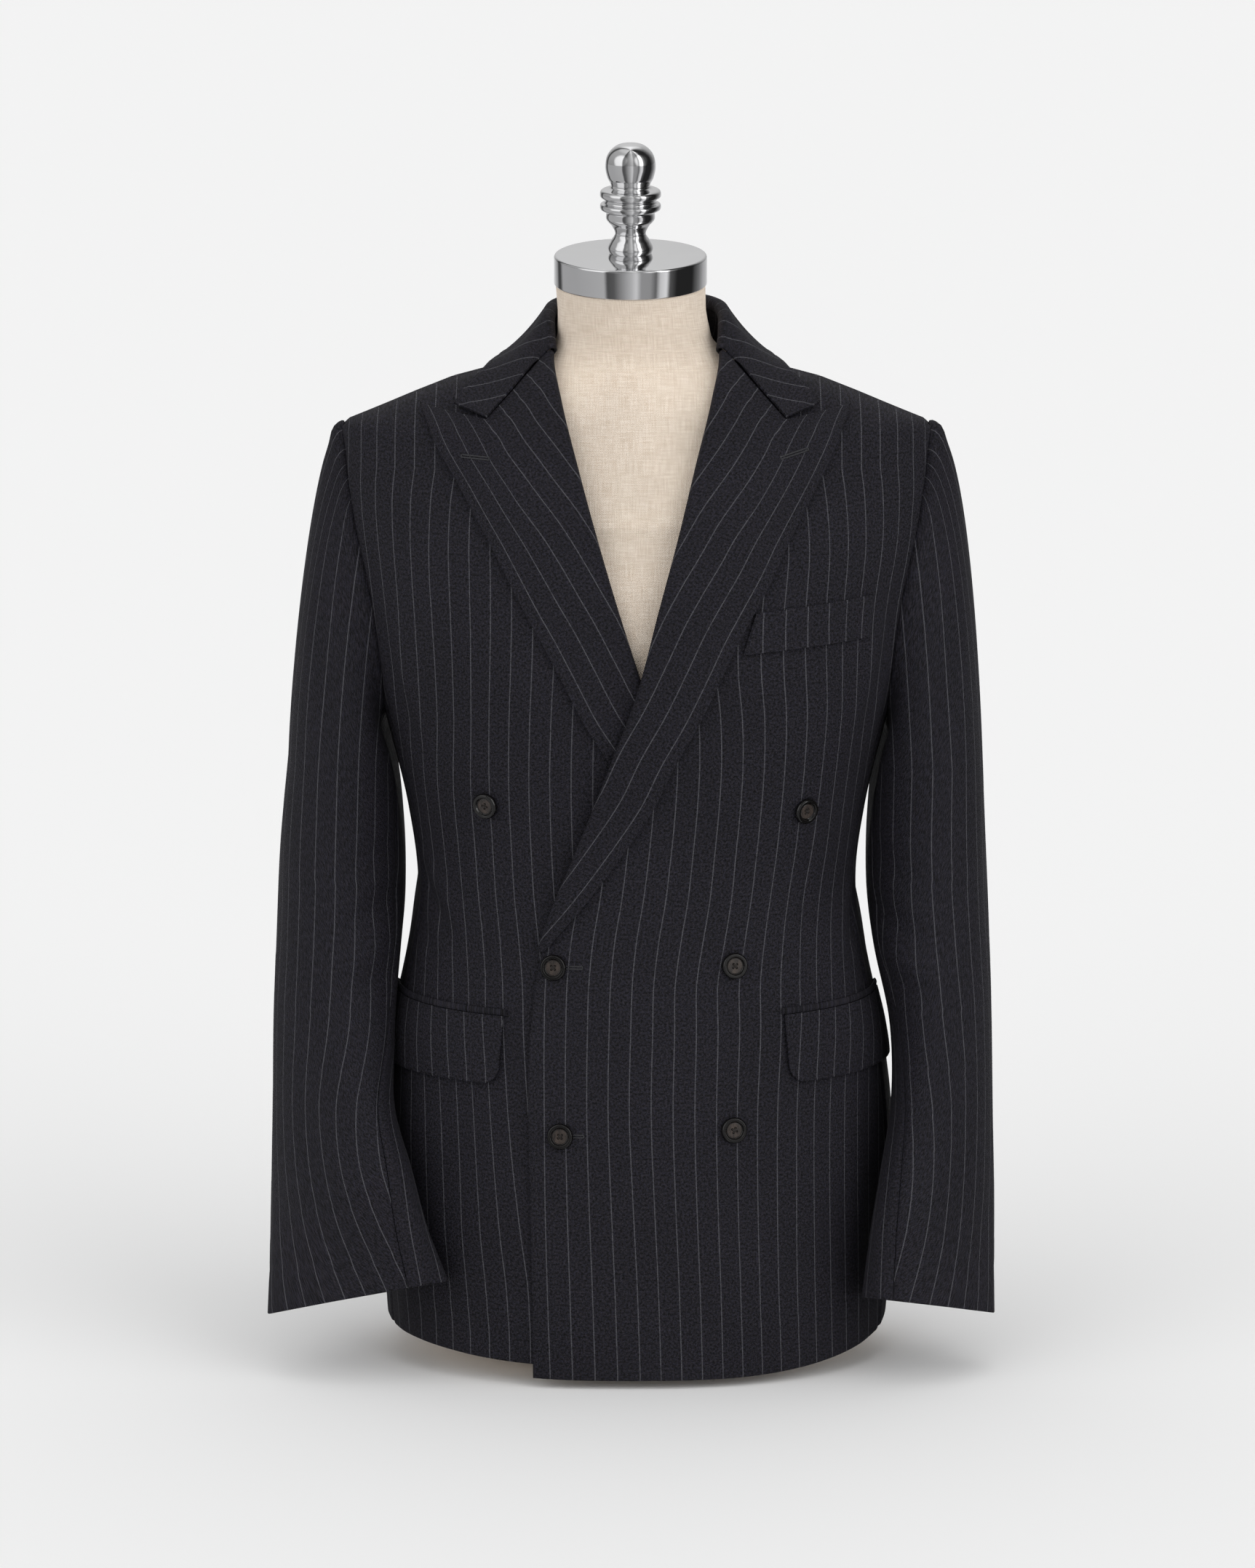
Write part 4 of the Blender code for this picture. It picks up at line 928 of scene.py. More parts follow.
# %% Stripe numbers
PITCH = 0.0165
STRAIGHT_ABOVE = 0.700   # over the shoulder they run straight on
STRIPES = {
    LEFT: (Table("height k0 k4 k8 k12 k16", (
        (0.012, -0.0662, 0.0028, 0.0669, 0.1302, 0.1942),
        (0.080, -0.0682, 0.0006, 0.0649, 0.1266, 0.1896),
        (0.147, -0.0697, -0.0027, 0.0624, 0.1253, 0.1866),
        (0.214, -0.0702, -0.0055, 0.0612, 0.1259, 0.1876),
        (0.280, -0.0702, -0.0044, 0.0624, 0.1302, 0.1935),
        (0.313, -0.0693, -0.0033, 0.0622, 0.1305, 0.1950),
        (0.348, -0.0659, 0.0001, 0.0682, 0.1329, 0.1975),
        (0.377, -0.0610, 0.0050, 0.0730, 0.1374, 0.2020),
        (0.413, -0.0566, 0.0094, 0.0764, 0.1440, 0.2060),
        (0.448, -0.0533, 0.0127, 0.0795, 0.1470, 0.2070),
        (0.483, -0.0516, 0.0144, 0.0812, 0.1492, 0.2066),
        (0.520, -0.0522, 0.0138, 0.0802, 0.1502, 0.2065),
        (0.554, -0.0555, 0.0105, 0.0770, 0.1482, 0.2055),
        (0.586, -0.0540, 0.0120, 0.0770, 0.1470, 0.2060),
        (0.649, -0.0476, 0.0184, 0.0830, 0.1490, 0.2130),
        (0.681, -0.0526, 0.0134, 0.0800, 0.1458, 0.2110),
        (0.713, -0.0591, 0.0069, 0.0740, 0.1395, 0.2050))), (0, 4, 8, 12, 16)),
    RIGHT: (Table("height k0 k4 k7 k10", (
        (0.040, 0.0161, 0.0821, 0.1328, 0.1830), (0.082, 0.0183, 0.0843, 0.1366, 0.1863),
        (0.115, 0.0228, 0.0888, 0.1396, 0.1893), (0.150, 0.0272, 0.0932, 0.1408, 0.1900),
        (0.182, 0.0307, 0.0967, 0.1420, 0.1908), (0.214, 0.0337, 0.0997, 0.1436, 0.1918),
        (0.280, 0.0387, 0.1037, 0.1483, 0.1985), (0.308, 0.0390, 0.1045, 0.1500, 0.2010),
        (0.347, 0.0440, 0.1075, 0.1545, 0.2040), (0.377, 0.0471, 0.1110, 0.1590, 0.2075),
        (0.416, 0.0492, 0.1131, 0.1622, 0.2105), (0.450, 0.0500, 0.1144, 0.1640, 0.2120),
        (0.520, 0.0486, 0.1133, 0.1585, 0.2083), (0.554, 0.0466, 0.1121, 0.1584, 0.2081),
        (0.586, 0.0454, 0.1114, 0.1599, 0.2085), (0.618, 0.0453, 0.1113, 0.1615, 0.2092),
        (0.650, 0.0455, 0.1115, 0.1616, 0.2103), (0.681, 0.0436, 0.1096, 0.1591, 0.2093),
        (0.712, 0.0375, 0.1035, 0.1530, 0.2039))), (0, 4, 7, 10)),
}


def girth(height, turn, count=20):
    """Length of cloth from centre front round to a turn, as a chain of short chords."""
    share = np.linspace(0.0, 1.0, count + 1).reshape((-1,) + (1,) * np.ndim(turn))
    chain = body_face(np.asarray(height) + 0.0 * share, np.asarray(turn) * share)
    return np.sign(turn) * np.linalg.norm(np.diff(chain, axis=0), axis=-1).sum(axis=0)


def front_stripe(side, height, turn):
    """Stripe number on a front: linear between the listed stripes, at the pitch beyond them."""
    table, known = STRIPES[side]
    x = body_face(height, turn)[..., 0]
    turn = np.where(height > STRAIGHT_ABOVE, turn_at(STRAIGHT_ABOVE, x), turn)
    height = np.minimum(height, STRAIGHT_ABOVE)
    place = girth(height, turn)
    marks = [table.at(name, height) for name in table.names[1:]]
    number = known[0] + (place - marks[0]) / PITCH
    for k in range(len(known) - 1):
        rate = (known[k + 1] - known[k]) / (marks[k + 1] - marks[k])
        number = np.where(place > marks[k], known[k] + (place - marks[k]) * rate, number)
    return np.where(place > marks[-1], known[-1] + (place - marks[-1]) / PITCH, number)


print("girth at the waist", round(2 * float(girth(0.37, np.array(math.pi))), 3), "m")

# %% [markdown]
# ## From a surface to a piece of cloth
#
# A cut piece is a thin closed shell: its outer face is the surface, its lining lies a wall further
# in, and a rounded rim joins the two, as a turned edge does on a real jacket. Blender's Solidify
# could give the wall, but its rim is square and catches the light like cardboard. Working the rim
# out here also lets the first rows be close together, so that a seam can roll in softly.


# %% Cloth builder
def steps(count, near=(0.0, 0.006, 0.013, 0.022, 0.036)):
    """Even shares from 0 to 1 with a few closer ones at both ends."""
    near = np.array(near)
    return np.concatenate([near, np.linspace(0.05, 0.95, count), 1.0 - near[::-1]])


def normals_of(grid, flip):
    """Cross product of the grid's steps along its rows and columns."""
    cross = np.cross(np.gradient(grid, axis=0), np.gradient(grid, axis=1))
    return unit(cross) * (-1.0 if flip else 1.0)


def from_edges(grid):
    """Distance along the cloth from the first and last column and row."""
    across = np.linalg.norm(np.diff(grid, axis=1), axis=-1).cumsum(axis=1)
    across = np.pad(across, ((0, 0), (1, 0)))
    along = np.linalg.norm(np.diff(grid, axis=0), axis=-1).cumsum(axis=0)
    along = np.pad(along, ((1, 0), (0, 0)))
    return across, across[:, -1:] - across, along, along[-1:] - along


def bell(distance, width):
    """1 at no distance, falling off smoothly over the width."""
    return np.exp(-((distance / width) ** 2))


def put_mesh(name, points, faces, uv, materials, places=None):
    """Makes an object from arrays, with one UV for each point."""
    mesh = bpy.data.meshes.new(name)
    mesh.from_pydata(points.tolist(), [], faces if isinstance(faces, list) else faces.tolist())
    corner = np.empty(len(mesh.loops), np.int32)
    mesh.loops.foreach_get("vertex_index", corner)
    mesh.uv_layers.new(name="cloth").data.foreach_set("uv", uv[corner].astype(np.float32).ravel())
    for material in materials:
        mesh.materials.append(material)
    if places is not None:
        mesh.polygons.foreach_set("material_index", np.asarray(places, np.int32))
    mesh.shade_smooth()
    mesh.update()
    piece = bpy.data.objects.new(name, mesh)
    bpy.context.scene.collection.objects.link(piece)
    return piece


def shell(name, outer, uv, materials, flip, wall=CLOTH):
    """The outer grid, an inner one a wall in along the normals, and a half round rim."""
    rows, cols = outer.shape[:2]
    normal = normals_of(outer, flip)
    index = np.arange(rows * cols).reshape(rows, cols)
    border = np.concatenate([index[0, :], index[1:, -1], index[-1, -2::-1], index[-2:0:-1, 0]])
    inside = index[np.clip(border // cols, 1, rows - 2), np.clip(border % cols, 1, cols - 2)]
    points, normal = outer.reshape(-1, 3).copy(), normal.reshape(-1, 3)
    under = points - normal * wall
    middle = points[border] - normal[border] * wall / 2
    tangent = unit(np.roll(middle, -1, axis=0) - np.roll(middle, 1, axis=0))
    away = middle - (points[inside] - normal[inside] * wall / 2)
    away = away - (away * tangent).sum(axis=1, keepdims=True) * tangent
    reach = np.minimum(wall / 2, 0.45 * np.linalg.norm(away, axis=1, keepdims=True))
    away = unit(away)
    centre = middle - away * reach
    lift = normal[border] * wall / 2
    points[border], under[border] = centre + lift, centre - lift
    angle = np.radians([36.0, 72.0, 108.0, 144.0])
    rim = [centre + lift * math.cos(a) + away * reach * math.sin(a) for a in angle]
    count, loop = rows * cols, len(border)
    quads = np.stack([index[:-1, :-1], index[1:, :-1], index[1:, 1:], index[:-1, 1:]], axis=-1)
    quads = quads.reshape(-1, 4)
    chain = [border] + [2 * count + k * loop + np.arange(loop) for k in range(4)] + [border + count]
    bands = [np.stack([a, np.roll(a, -1), np.roll(b, -1), b], axis=-1)
             for a, b in zip(chain[:-1], chain[1:])]
    faces = np.concatenate([quads, quads[:, ::-1] + count] + bands)
    places = np.repeat([0, 1, 0], [len(quads), len(quads), len(bands) * loop])
    flat = uv.reshape(-1, 2)
    all_uv = np.concatenate([flat, flat] + [flat[border]] * 4)
    return put_mesh(name, np.concatenate([points, under] + rim), faces[:, ::-1] if flip else faces,
                    all_uv, materials, places)


def cut_of(grid):
    """Widest row, longest column and area of a piece laid flat, in metres."""
    across, _, along, _ = from_edges(grid)
    first, second = grid[1:, 1:] - grid[:-1, :-1], grid[1:, :-1] - grid[:-1, 1:]
    area = 0.5 * np.linalg.norm(np.cross(first, second), axis=-1).sum()
    return float(across[:, -1].max()), float(along[-1].max()), float(area)


CUTS = {}


def sew(name, face, rows, cols, flip, stripe, materials, held, rests_on, relief=None, node=None):
    u, v = np.meshgrid(rows, cols, indexing="ij")
    grid = face(u, v)
    uv = np.stack(stripe(u, v, grid), axis=-1)
    if relief is not None:
        grid = grid + normals_of(grid, flip) * relief(u, v, from_edges(grid))[..., None]
    piece = shell(name, grid, uv, materials, flip)
    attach(piece, "root")
    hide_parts(node)
    width, length, area = cut_of(grid)
    CUTS[name] = (width, length, area, held, rests_on, piece)
    print(f"{name}: {width * 1000:.0f} by {length * 1000:.0f} mm, {area:.4f} square metres")
    return piece


# %% [markdown]
# ## Worsted cloth
#
# The suiting is a charcoal worsted: smooth wool yarns, some dyed a little bluer or browner, woven
# in a fine twill, with a thin stripe of single grey threads that shows as a row of beads. The
# pattern reads the piece's UV, because it has to bend with the cloth. A picture of cloth would
# repeat and blur close up; noise and waves stay sharp. Wool scatters light at its edges, hence
# some sheen.


# %% Worsted
def worsted_finish():
    """Stripe: a line where the stripe number is whole. Twill: a sine along the diagonal."""
    material, tree, shader = finish_named("worsted_cloth")
    number, across, along, cloth = stripe_uv(tree)
    wander = times(tree, noise(tree, cloth, 90.0), 0.016)
    shifted = plus(tree, plus(tree, number, wander), 0.492)
    far = maths(tree, "ABSOLUTE", maths(tree, "SUBTRACT", maths(tree, "FRACT", shifted), 0.5))
    line = ease(tree, times(tree, far, PITCH), 0.00026, 0.00052, 1.0, 0.0)
    bead = maths(tree, "SINE", times(tree, along, 2 * math.pi / 0.0013))
    bead = ease(tree, bead, -1.0, 0.4, 0.45, 1.0)
    worn = ease(tree, noise(tree, cloth, 260.0, 3.0), 0.25, 0.62, 0.45, 1.0)
    line = times(tree, times(tree, line, bead), worn)
    diagonal = plus(tree, times(tree, across, 0.8), times(tree, along, 0.6))
    twill = maths(tree, "SINE", times(tree, diagonal, 2 * math.pi / 0.00075))
    yarn = noise(tree, cloth, 1500.0, 2.0, 0.7)
    stretched = add(tree, "CombineXYZ", {0: across, 1: times(tree, along, 0.12)}).outputs[0]
    thread = noise(tree, stretched, 1300.0, 2.0, 0.6)
    dyed = ease(tree, noise(tree, cloth, 520.0, 2.0), 0.35, 0.65)
    ground = blend_colours(tree, dyed, (0.0090, 0.0087, 0.0142, 1.0), (0.0118, 0.0103, 0.0138, 1.0))
    bright = plus(tree, ease(tree, yarn, 0.25, 0.75, 0.55, 1.45), times(tree, twill, 0.12))
    bright = times(tree, bright, ease(tree, thread, 0.2, 0.8, 0.82, 1.18))
    flecks = noise(tree, cloth, 560.0, 3.0, 0.75)
    bright = times(tree, bright, ease(tree, flecks, 0.32, 0.68, 0.10, 2.10))
    patchy = ease(tree, noise(tree, cloth, 14.0, 3.0), 0.2, 0.8, 0.90, 1.10)
    bright = times(tree, bright, patchy)
    ground = add(tree, "VectorMath", {0: ground, 3: bright}, operation="SCALE").outputs[0]
    colour = blend_colours(tree, line, ground, (0.090, 0.090, 0.101, 1.0))
    height = plus(tree, times(tree, twill, 0.35), times(tree, yarn, 0.9))
    height = plus(tree, height, times(tree, line, 0.5))
    finish_off(tree, shader, colour, ease(tree, yarn, 0.2, 0.8, 0.66, 0.84), height, 0.75, 0.00026,
               (("Sheen Weight", 0.015), ("Sheen Roughness", 0.45), ("Specular IOR Level", 0.22)))
    return material


worsted = worsted_finish()
print("stripe pitch", PITCH * 1000, "mm")

# %% [markdown]
# ## Lining, thread and linen
#
# Inside, a jacket has a satin lining: long floats of bright thread over a fine rib, so it is
# smoother than the wool. Sewing thread is a twisted cord, a sine wrapped round it, and its colour
# is painted shade where the sine is low, in the twist's grooves. The form is covered in natural
# linen, a plain weave: the product of two sines makes its little squares, and slubs, the thick
# places in linen yarn, are noise drawn out along each thread.


# %% Lining, thread, linen
def lining_finish():
    """Satin: fine ribs along the stripe direction, a soft bloom of noise."""
    material, tree, shader = finish_named("satin_lining")
    _, across, _, cloth = stripe_uv(tree)
    rib = maths(tree, "SINE", times(tree, across, 2 * math.pi / 0.0006))
    bloom = noise(tree, cloth, 35.0, 3.0)
    colour = blend_colours(tree, bloom, (0.012, 0.012, 0.016, 1.0), (0.026, 0.026, 0.034, 1.0))
    finish_off(tree, shader, colour, ease(tree, bloom, 0.2, 0.8, 0.32, 0.46), rib, 0.3, 0.0001,
               [("Sheen Weight", 0.08)])
    return material


def thread_finish(name, dark, light):
    """A twisted thread: stripes that climb round it, dark in its grooves as painted shade."""
    material, tree, shader = finish_named(name)
    parts = add(tree, "SeparateXYZ", {0: add(tree, "TexCoord").outputs["UV"]})
    climb = plus(tree, times(tree, parts.outputs[1], 2 * math.pi / 0.0006),
                 times(tree, parts.outputs[0], 2 * math.pi))
    twist = maths(tree, "SINE", climb)
    # Painted shade: the colour is dark where the twist is low, in its grooves, and light on its
    # ridges.
    colour = blend_colours(tree, ease(tree, twist, -1.0, 1.0), dark, light)
    rough = ease(tree, twist, -1.0, 1.0, 0.75, 0.55)
    finish_off(tree, shader, colour, rough, twist, 0.5, 0.0001)
    return material


def linen_finish():
    """Plain weave: warp and weft sines multiplied, with slubs and a few flecks."""
    material, tree, shader = finish_named("natural_linen_cloth")
    place = add(tree, "TexCoord").outputs["UV"]
    parts = add(tree, "SeparateXYZ", {0: place})
    across, along = parts.outputs[0], parts.outputs[1]
    drawn_across = add(tree, "CombineXYZ", {0: times(tree, across, 0.06), 1: along}).outputs[0]
    drawn_along = add(tree, "CombineXYZ", {0: across, 1: times(tree, along, 0.06)}).outputs[0]
    weft_slub, warp_slub = (noise(tree, where, 1100.0) for where in (drawn_across, drawn_along))
    turn = 2 * math.pi / 0.0013
    warp = maths(tree, "SINE", times(tree, across, turn))
    weft = maths(tree, "SINE", times(tree, along, turn))
    weave = times(tree, warp, weft)
    slub = plus(tree, warp_slub, weft_slub)
    tone = plus(tree, ease(tree, slub, 0.6, 1.4, 0.1, 0.85), times(tree, weave, 0.16))
    colour = blend_colours(tree, tone, (0.70, 0.575, 0.455, 1.0), (0.96, 0.85, 0.73, 1.0))
    aged = ease(tree, noise(tree, place, 12.0, 3.0), 0.25, 0.75, 0.90, 1.04)
    colour = add(tree, "VectorMath", {0: colour, 3: aged}, operation="SCALE").outputs[0]
    rough = ease(tree, slub, 0.7, 1.3, 0.95, 0.80)
    height = plus(tree, weave, times(tree, slub, 1.2))
    finish_off(tree, shader, colour, rough, height, 0.6, 0.0003,
               (("Sheen Weight", 0.05), ("Specular IOR Level", 0.25)))
    return material


lining = lining_finish()
# For each thread, the first colour is the painted shade of its twist's grooves, the second the
# colour of its ridges.
sewing_thread = thread_finish("sewing_thread", (0.010, 0.010, 0.012, 1.0),
                              (0.040, 0.040, 0.045, 1.0))
button_thread = thread_finish("button_thread", (0.008, 0.006, 0.005, 1.0),
                              (0.035, 0.028, 0.024, 1.0))
linen = linen_finish()
print("finishes", [m.name for m in (lining, sewing_thread, button_thread, linen)])

# %% [markdown]
# ## Horn and chrome
#
# The buttons are polished buffalo horn: nearly black at the rim, where the shape is thick, with a
# browner matt middle and faint growth streaks. The cap and finial are polished chrome, whose colour
# is only what it mirrors, so its material is a pale metal with slight smears that vary the gloss.


# %% Horn and chrome
def horn_finish():
    """Streaky noise between black and brown; UV x is the share of the radius."""
    material, tree, shader = finish_named("buffalo_horn")
    source = add(tree, "TexCoord")
    share = add(tree, "SeparateXYZ", {0: source.outputs["UV"]}).outputs[0]
    stretch = add(tree, "Mapping", {0: source.outputs["Object"], 3: (1.0, 1.0, 0.35)}).outputs[0]
    streak = noise(tree, stretch, 420.0, 4.0, 0.6)
    middle = ease(tree, share, 0.50, 0.62, 1.0, 0.0)
    brown = times(tree, middle, ease(tree, streak, 0.3, 0.7, 0.25, 1.0))
    colour = blend_colours(tree, brown, (0.0030, 0.0026, 0.0026, 1.0), (0.052, 0.036, 0.028, 1.0))
    rough = plus(tree, ease(tree, middle, 0.0, 1.0, 0.10, 0.40), times(tree, streak, 0.08))
    finish_off(tree, shader, colour, rough, streak, 0.12, 0.0002, [("Coat Weight", 0.25)])
    return material


def chrome_finish():
    """A mirror with smears: low roughness that noise lifts a little."""
    material, tree, shader = finish_named("polished_chrome")
    place = add(tree, "TexCoord").outputs["Object"]
    smear = noise(tree, place, 22.0, 3.0)
    grain = noise(tree, place, 900.0, 2.0)
    tone = blend_colours(tree, smear, (0.72, 0.72, 0.73, 1.0), (0.80, 0.80, 0.805, 1.0))
    rough = plus(tree, ease(tree, smear, 0.3, 0.75, 0.03, 0.07), times(tree, grain, 0.02))
    finish_off(tree, shader, tone, rough, grain, 0.05, 0.0001, [("Metallic", 1.0)])
    return material


horn, chrome = horn_finish(), chrome_finish()
print("horn and chrome mixed")

# %% [markdown]
# ## The form
#
# Under the jacket stands a limbless torso, covered in linen with seams down its sides and back.
# Its surface is the CAD one, asked for at many more places so that the neck is smooth in the open
# front. The cap and finial are turned metal: a profile is smoothed, then carried round the leaning
# axis. A Screw modifier could turn it too, but would leave the place and lean to the object, not
# its mesh.


# %% The linen torso and neck
def tube_faces(count, around_count, base=0):
    """Quads between rings and a fan at both ends, to two middles listed after the rings."""
    index = base + np.arange(count * around_count).reshape(count, around_count)
    after = np.roll(index, -1, axis=1)
    low = np.full(around_count, base + count * around_count)
    quads = np.stack([index[:-1], after[:-1], after[1:], index[1:]], axis=-1).reshape(-1, 4)
    foot, head = (np.stack(corners, axis=-1) for corners in (
        (after[0], index[0], low), (index[-1], after[-1], low + 1)))
    return quads.tolist() + foot.tolist() + head.tolist()


def with_middles(rings):
    """The rings' points in one list, then the middles of the first and last ring."""
    return np.concatenate([rings.reshape(-1, 3), rings[:1].mean(axis=1), rings[-1:].mean(axis=1)])


def closed_tube(name, rings, uv_rings, material, node):
    """Rings joined round and up, closed at both ends, in the place of a node."""
    uv = np.concatenate([uv_rings.reshape(-1, 2), uv_rings[:1].mean(axis=1),
                         uv_rings[-1:].mean(axis=1)])
    faces = tube_faces(*rings.shape[:2])
    piece = put_mesh(name, with_middles(rings), faces, uv, [material])
    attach(piece, "root")
    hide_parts(node)
    return piece


FORM_COLUMNS = 224
LEAN = np.array([0.0, -math.sin(NECK_LEAN), math.cos(NECK_LEAN)])
CAP_FOOT = np.array(CAP_CENTRE) - LEAN * CAP_RIM


def linen_form():
    """The form's rings, with shallow seams at the sides and the centre back."""
    heights = np.concatenate([np.linspace(0.0, 0.06, 14), np.linspace(0.07, 0.64, 58),
                              np.linspace(0.645, 0.816, 58)])
    turns = np.linspace(-math.pi, math.pi, FORM_COLUMNS, endpoint=False)
    h, t = np.meshgrid(heights, turns, indexing="ij")
    rings = form_ring(h, t)
    seat = np.array(CAP_CENTRE) - LEAN * (CAP_RIM + SEAM_GAP)
    across = rings[-1] - rings[-1].mean(axis=0)
    across = unit(across - (across @ LEAN)[:, None] * LEAN)
    neck_top = seat + across * (CAP_RADIUS - 0.0012)
    share = np.linspace(0.0, 1.0, 12)[1:, None, None]
    rings = np.concatenate([rings, rings[-1] + (neck_top - rings[-1]) * share])
    rolled = seat + across * (CAP_RADIUS - 0.0032) + LEAN * 0.0004
    rings = np.concatenate([rings, rolled[None]])
    seams = (-math.pi, -math.pi / 2, math.pi / 2)
    seam = sum(bell((turns - place) * 0.17, 0.0014) for place in seams)
    inward = rings - rings.mean(axis=1, keepdims=True)
    inward[..., 2] = 0.0
    rings = rings - unit(inward) * (0.0008 * seam)[None, :, None]
    chord = np.linalg.norm(rings - np.roll(rings, 1, axis=1), axis=-1)
    around = np.cumsum(chord, axis=1)
    around = around - around[:, FORM_COLUMNS // 2, None]
    up = rings[..., 2].mean(axis=1, keepdims=True) + 0.0 * around
    uv = np.stack([around, up], axis=-1)
    return closed_tube("linen_form", rings, uv, linen, "form_body")


form_piece = linen_form()
print("linen form:", len(form_piece.data.polygons), "faces")


# %% Cap and finial
def smooth_profile(knots, count):
    """Points evenly along a profile, joined by the same cubic as the tables."""
    knots = np.array(knots, float)
    reach = np.concatenate([[0.0], np.linalg.norm(np.diff(knots, axis=0), axis=1).cumsum()])
    table = Table("reach radius height", np.column_stack([reach, knots]))
    where = np.linspace(0.0, reach[-1], count)
    return np.column_stack([np.maximum(table.at("radius", where), 0.0), table.at("height", where)])


def turned_piece(name, profile, centre, node, segments):
    """Each profile point becomes a ring about the leaning axis."""
    side_way = unit(np.cross(LEAN, np.array([1.0, 0.0, 0.0])))
    other_way = np.cross(LEAN, side_way)
    angle = np.linspace(0.0, 2 * math.pi, segments, endpoint=False)
    circle = np.cos(angle)[:, None] * side_way + np.sin(angle)[:, None] * other_way
    rings = centre + profile[:, 1, None, None] * LEAN + profile[:, 0, None, None] * circle
    share = profile[:, 0] / profile[:, 0].max()
    uv = np.stack(np.broadcast_arrays(share[:, None], angle[None] / (2 * math.pi)), axis=-1)
    return closed_tube(name, rings, uv, chrome, node)


def cap_profile():
    """A drum: a small rounded foot, a straight side, a rounded shoulder, a faintly domed top."""
    foot, shoulder = 0.0009, CAP_ROUND
    angle = np.linspace(-math.pi / 2, 0.0, 8)
    low = np.column_stack([CAP_RADIUS - foot + foot * np.cos(angle), foot + foot * np.sin(angle)])
    angle = np.linspace(0.0, math.pi / 2, 12)
    high = np.column_stack([CAP_RADIUS - shoulder + shoulder * np.cos(angle),
                            CAP_RIM - shoulder + shoulder * np.sin(angle)])
    share = np.linspace(0.0, 1.0, 20)[1:]
    top = np.column_stack([(CAP_RADIUS - shoulder) * (1 - share),
                           CAP_RIM + CAP_CROWN * share * (2 - share)])
    return np.concatenate([[(0.0005, 0.0), (CAP_RADIUS - 0.002, 0.0)], low, high, top[:-1],
                           [(0.0005, CAP_RIM + CAP_CROWN)]])


turned_piece("chrome_cap", cap_profile(), CAP_FOOT, "form_cap", 192)
turned_piece("chrome_finial", smooth_profile(FINIAL_PROFILE, 150)[1:-1],
             CAP_FOOT + LEAN * (CAP_RIM + CAP_CROWN + SEAM_GAP), "form_finial", 128)
print("cap", CAP_RADIUS * 2000, "mm across; finial", FINIAL_PROFILE[-1][1] * 1000, "mm tall")

# %% [markdown]
# ## Fronts, side bodies and backs
#
# Six panels make the jacket's body. Each is the same surface between different borders, and each
# border rolls in by nearly a millimetre at its seam, which is what makes a seam show as a soft dark
# line. The waist dart is a fine valley. A Boolean cut would leave hard edges instead.


# %% Reliefs of the body panels
SEAM_ROLL = 0.0009
DART_LOW, DART_HIGH = 0.2985, 0.4165
DART = {                 # height, distance from the centre line
    LEFT: ((0.2985, 0.1298), (0.3641, 0.1281), (0.4365, 0.1344)),
    RIGHT: ((0.2985, 0.1160), (0.3600, 0.1150), (0.4300, 0.1215)),
}


def seam_roll(distance):
    """In at the seam by a bell of the distance, with a faint swell beside it."""
    return -SEAM_ROLL * bell(distance, 0.0022) + 0.0003 * bell(distance - 0.006, 0.003)


def hem_fold(low):
    """The hem's turn-up: a faint ridge where it ends, 40 mm up, and a line just above."""
    return 0.00035 * bell(low - 0.040, 0.004) - 0.0003 * bell(low - 0.045, 0.002)


def front_turn(side, u, v):
    """Height and turn of a front's place, before its hem is curved."""
    height = u * NECK_HEIGHT
    inner = turn_at(height, FRONT_EDGE.at(LAP[side], height))
    return height, inner + (outer_border(height, True) - inner) * v


def front_relief(side):
    """Side seam and armhole, dart, stitched front edge and the hem's turn-up."""
    def relief(u, v, edges):
        left, right, low, _ = edges
        height, turn = front_turn(side, u, v)
        line = np.interp(height, *np.transpose(DART[side]))
        ends = smooth((height - DART_LOW) / 0.02) * (1 - smooth((height - DART_HIGH) / 0.02))
        dart = -0.0013 * bell(body_face(height, turn)[..., 0] - line, 0.0026) * ends
        edge = -0.0004 * bell(left - 0.0055, 0.0014) * (height < LAPEL_LOW)
        return seam_roll(right) + dart + edge + hem_fold(low)
    return relief


def panel_relief(u, v, edges):
    """Seams on both sides and the hem."""
    left, right, low, _ = edges
    return seam_roll(left) + seam_roll(right) + hem_fold(low)


def stripe_of_front(side):
    """Stripe numbers on a front, from where each point lies before it rolls."""
    def stripe(u, v, grid):
        height, turn = front_turn(side, u, v)
        height = height + hem_raise(LAP[side], height, turn)
        return front_stripe(side, height, turn), grid[..., 2]
    return stripe


def stripe_across(start, first):
    """Distance along the row from its first or last column, over the pitch."""
    def stripe(u, v, grid):
        left, right, low, _ = from_edges(grid)
        return (left if start == "first" else right) / PITCH + first, low
    return stripe


cloth = [worsted, lining]
for side, word in ((LEFT, "left"), (RIGHT, "right")):
    flip = side == LEFT
    sew("cloth_front_" + word, front_panel(side), steps(140), steps(104), flip,
        stripe_of_front(side), cloth, "draped", [form_piece], front_relief(side), "front_" + word)
    sew("cloth_side_" + word, side_panel(side), steps(96), steps(38), flip,
        stripe_across("first", 0.55), cloth, "hung", [form_piece], panel_relief, "side_" + word)
    sew("cloth_back_" + word, back_panel(side), steps(140), steps(64), flip,
        stripe_across("last", 0.5), cloth, "draped", [form_piece], panel_relief, "back_" + word)
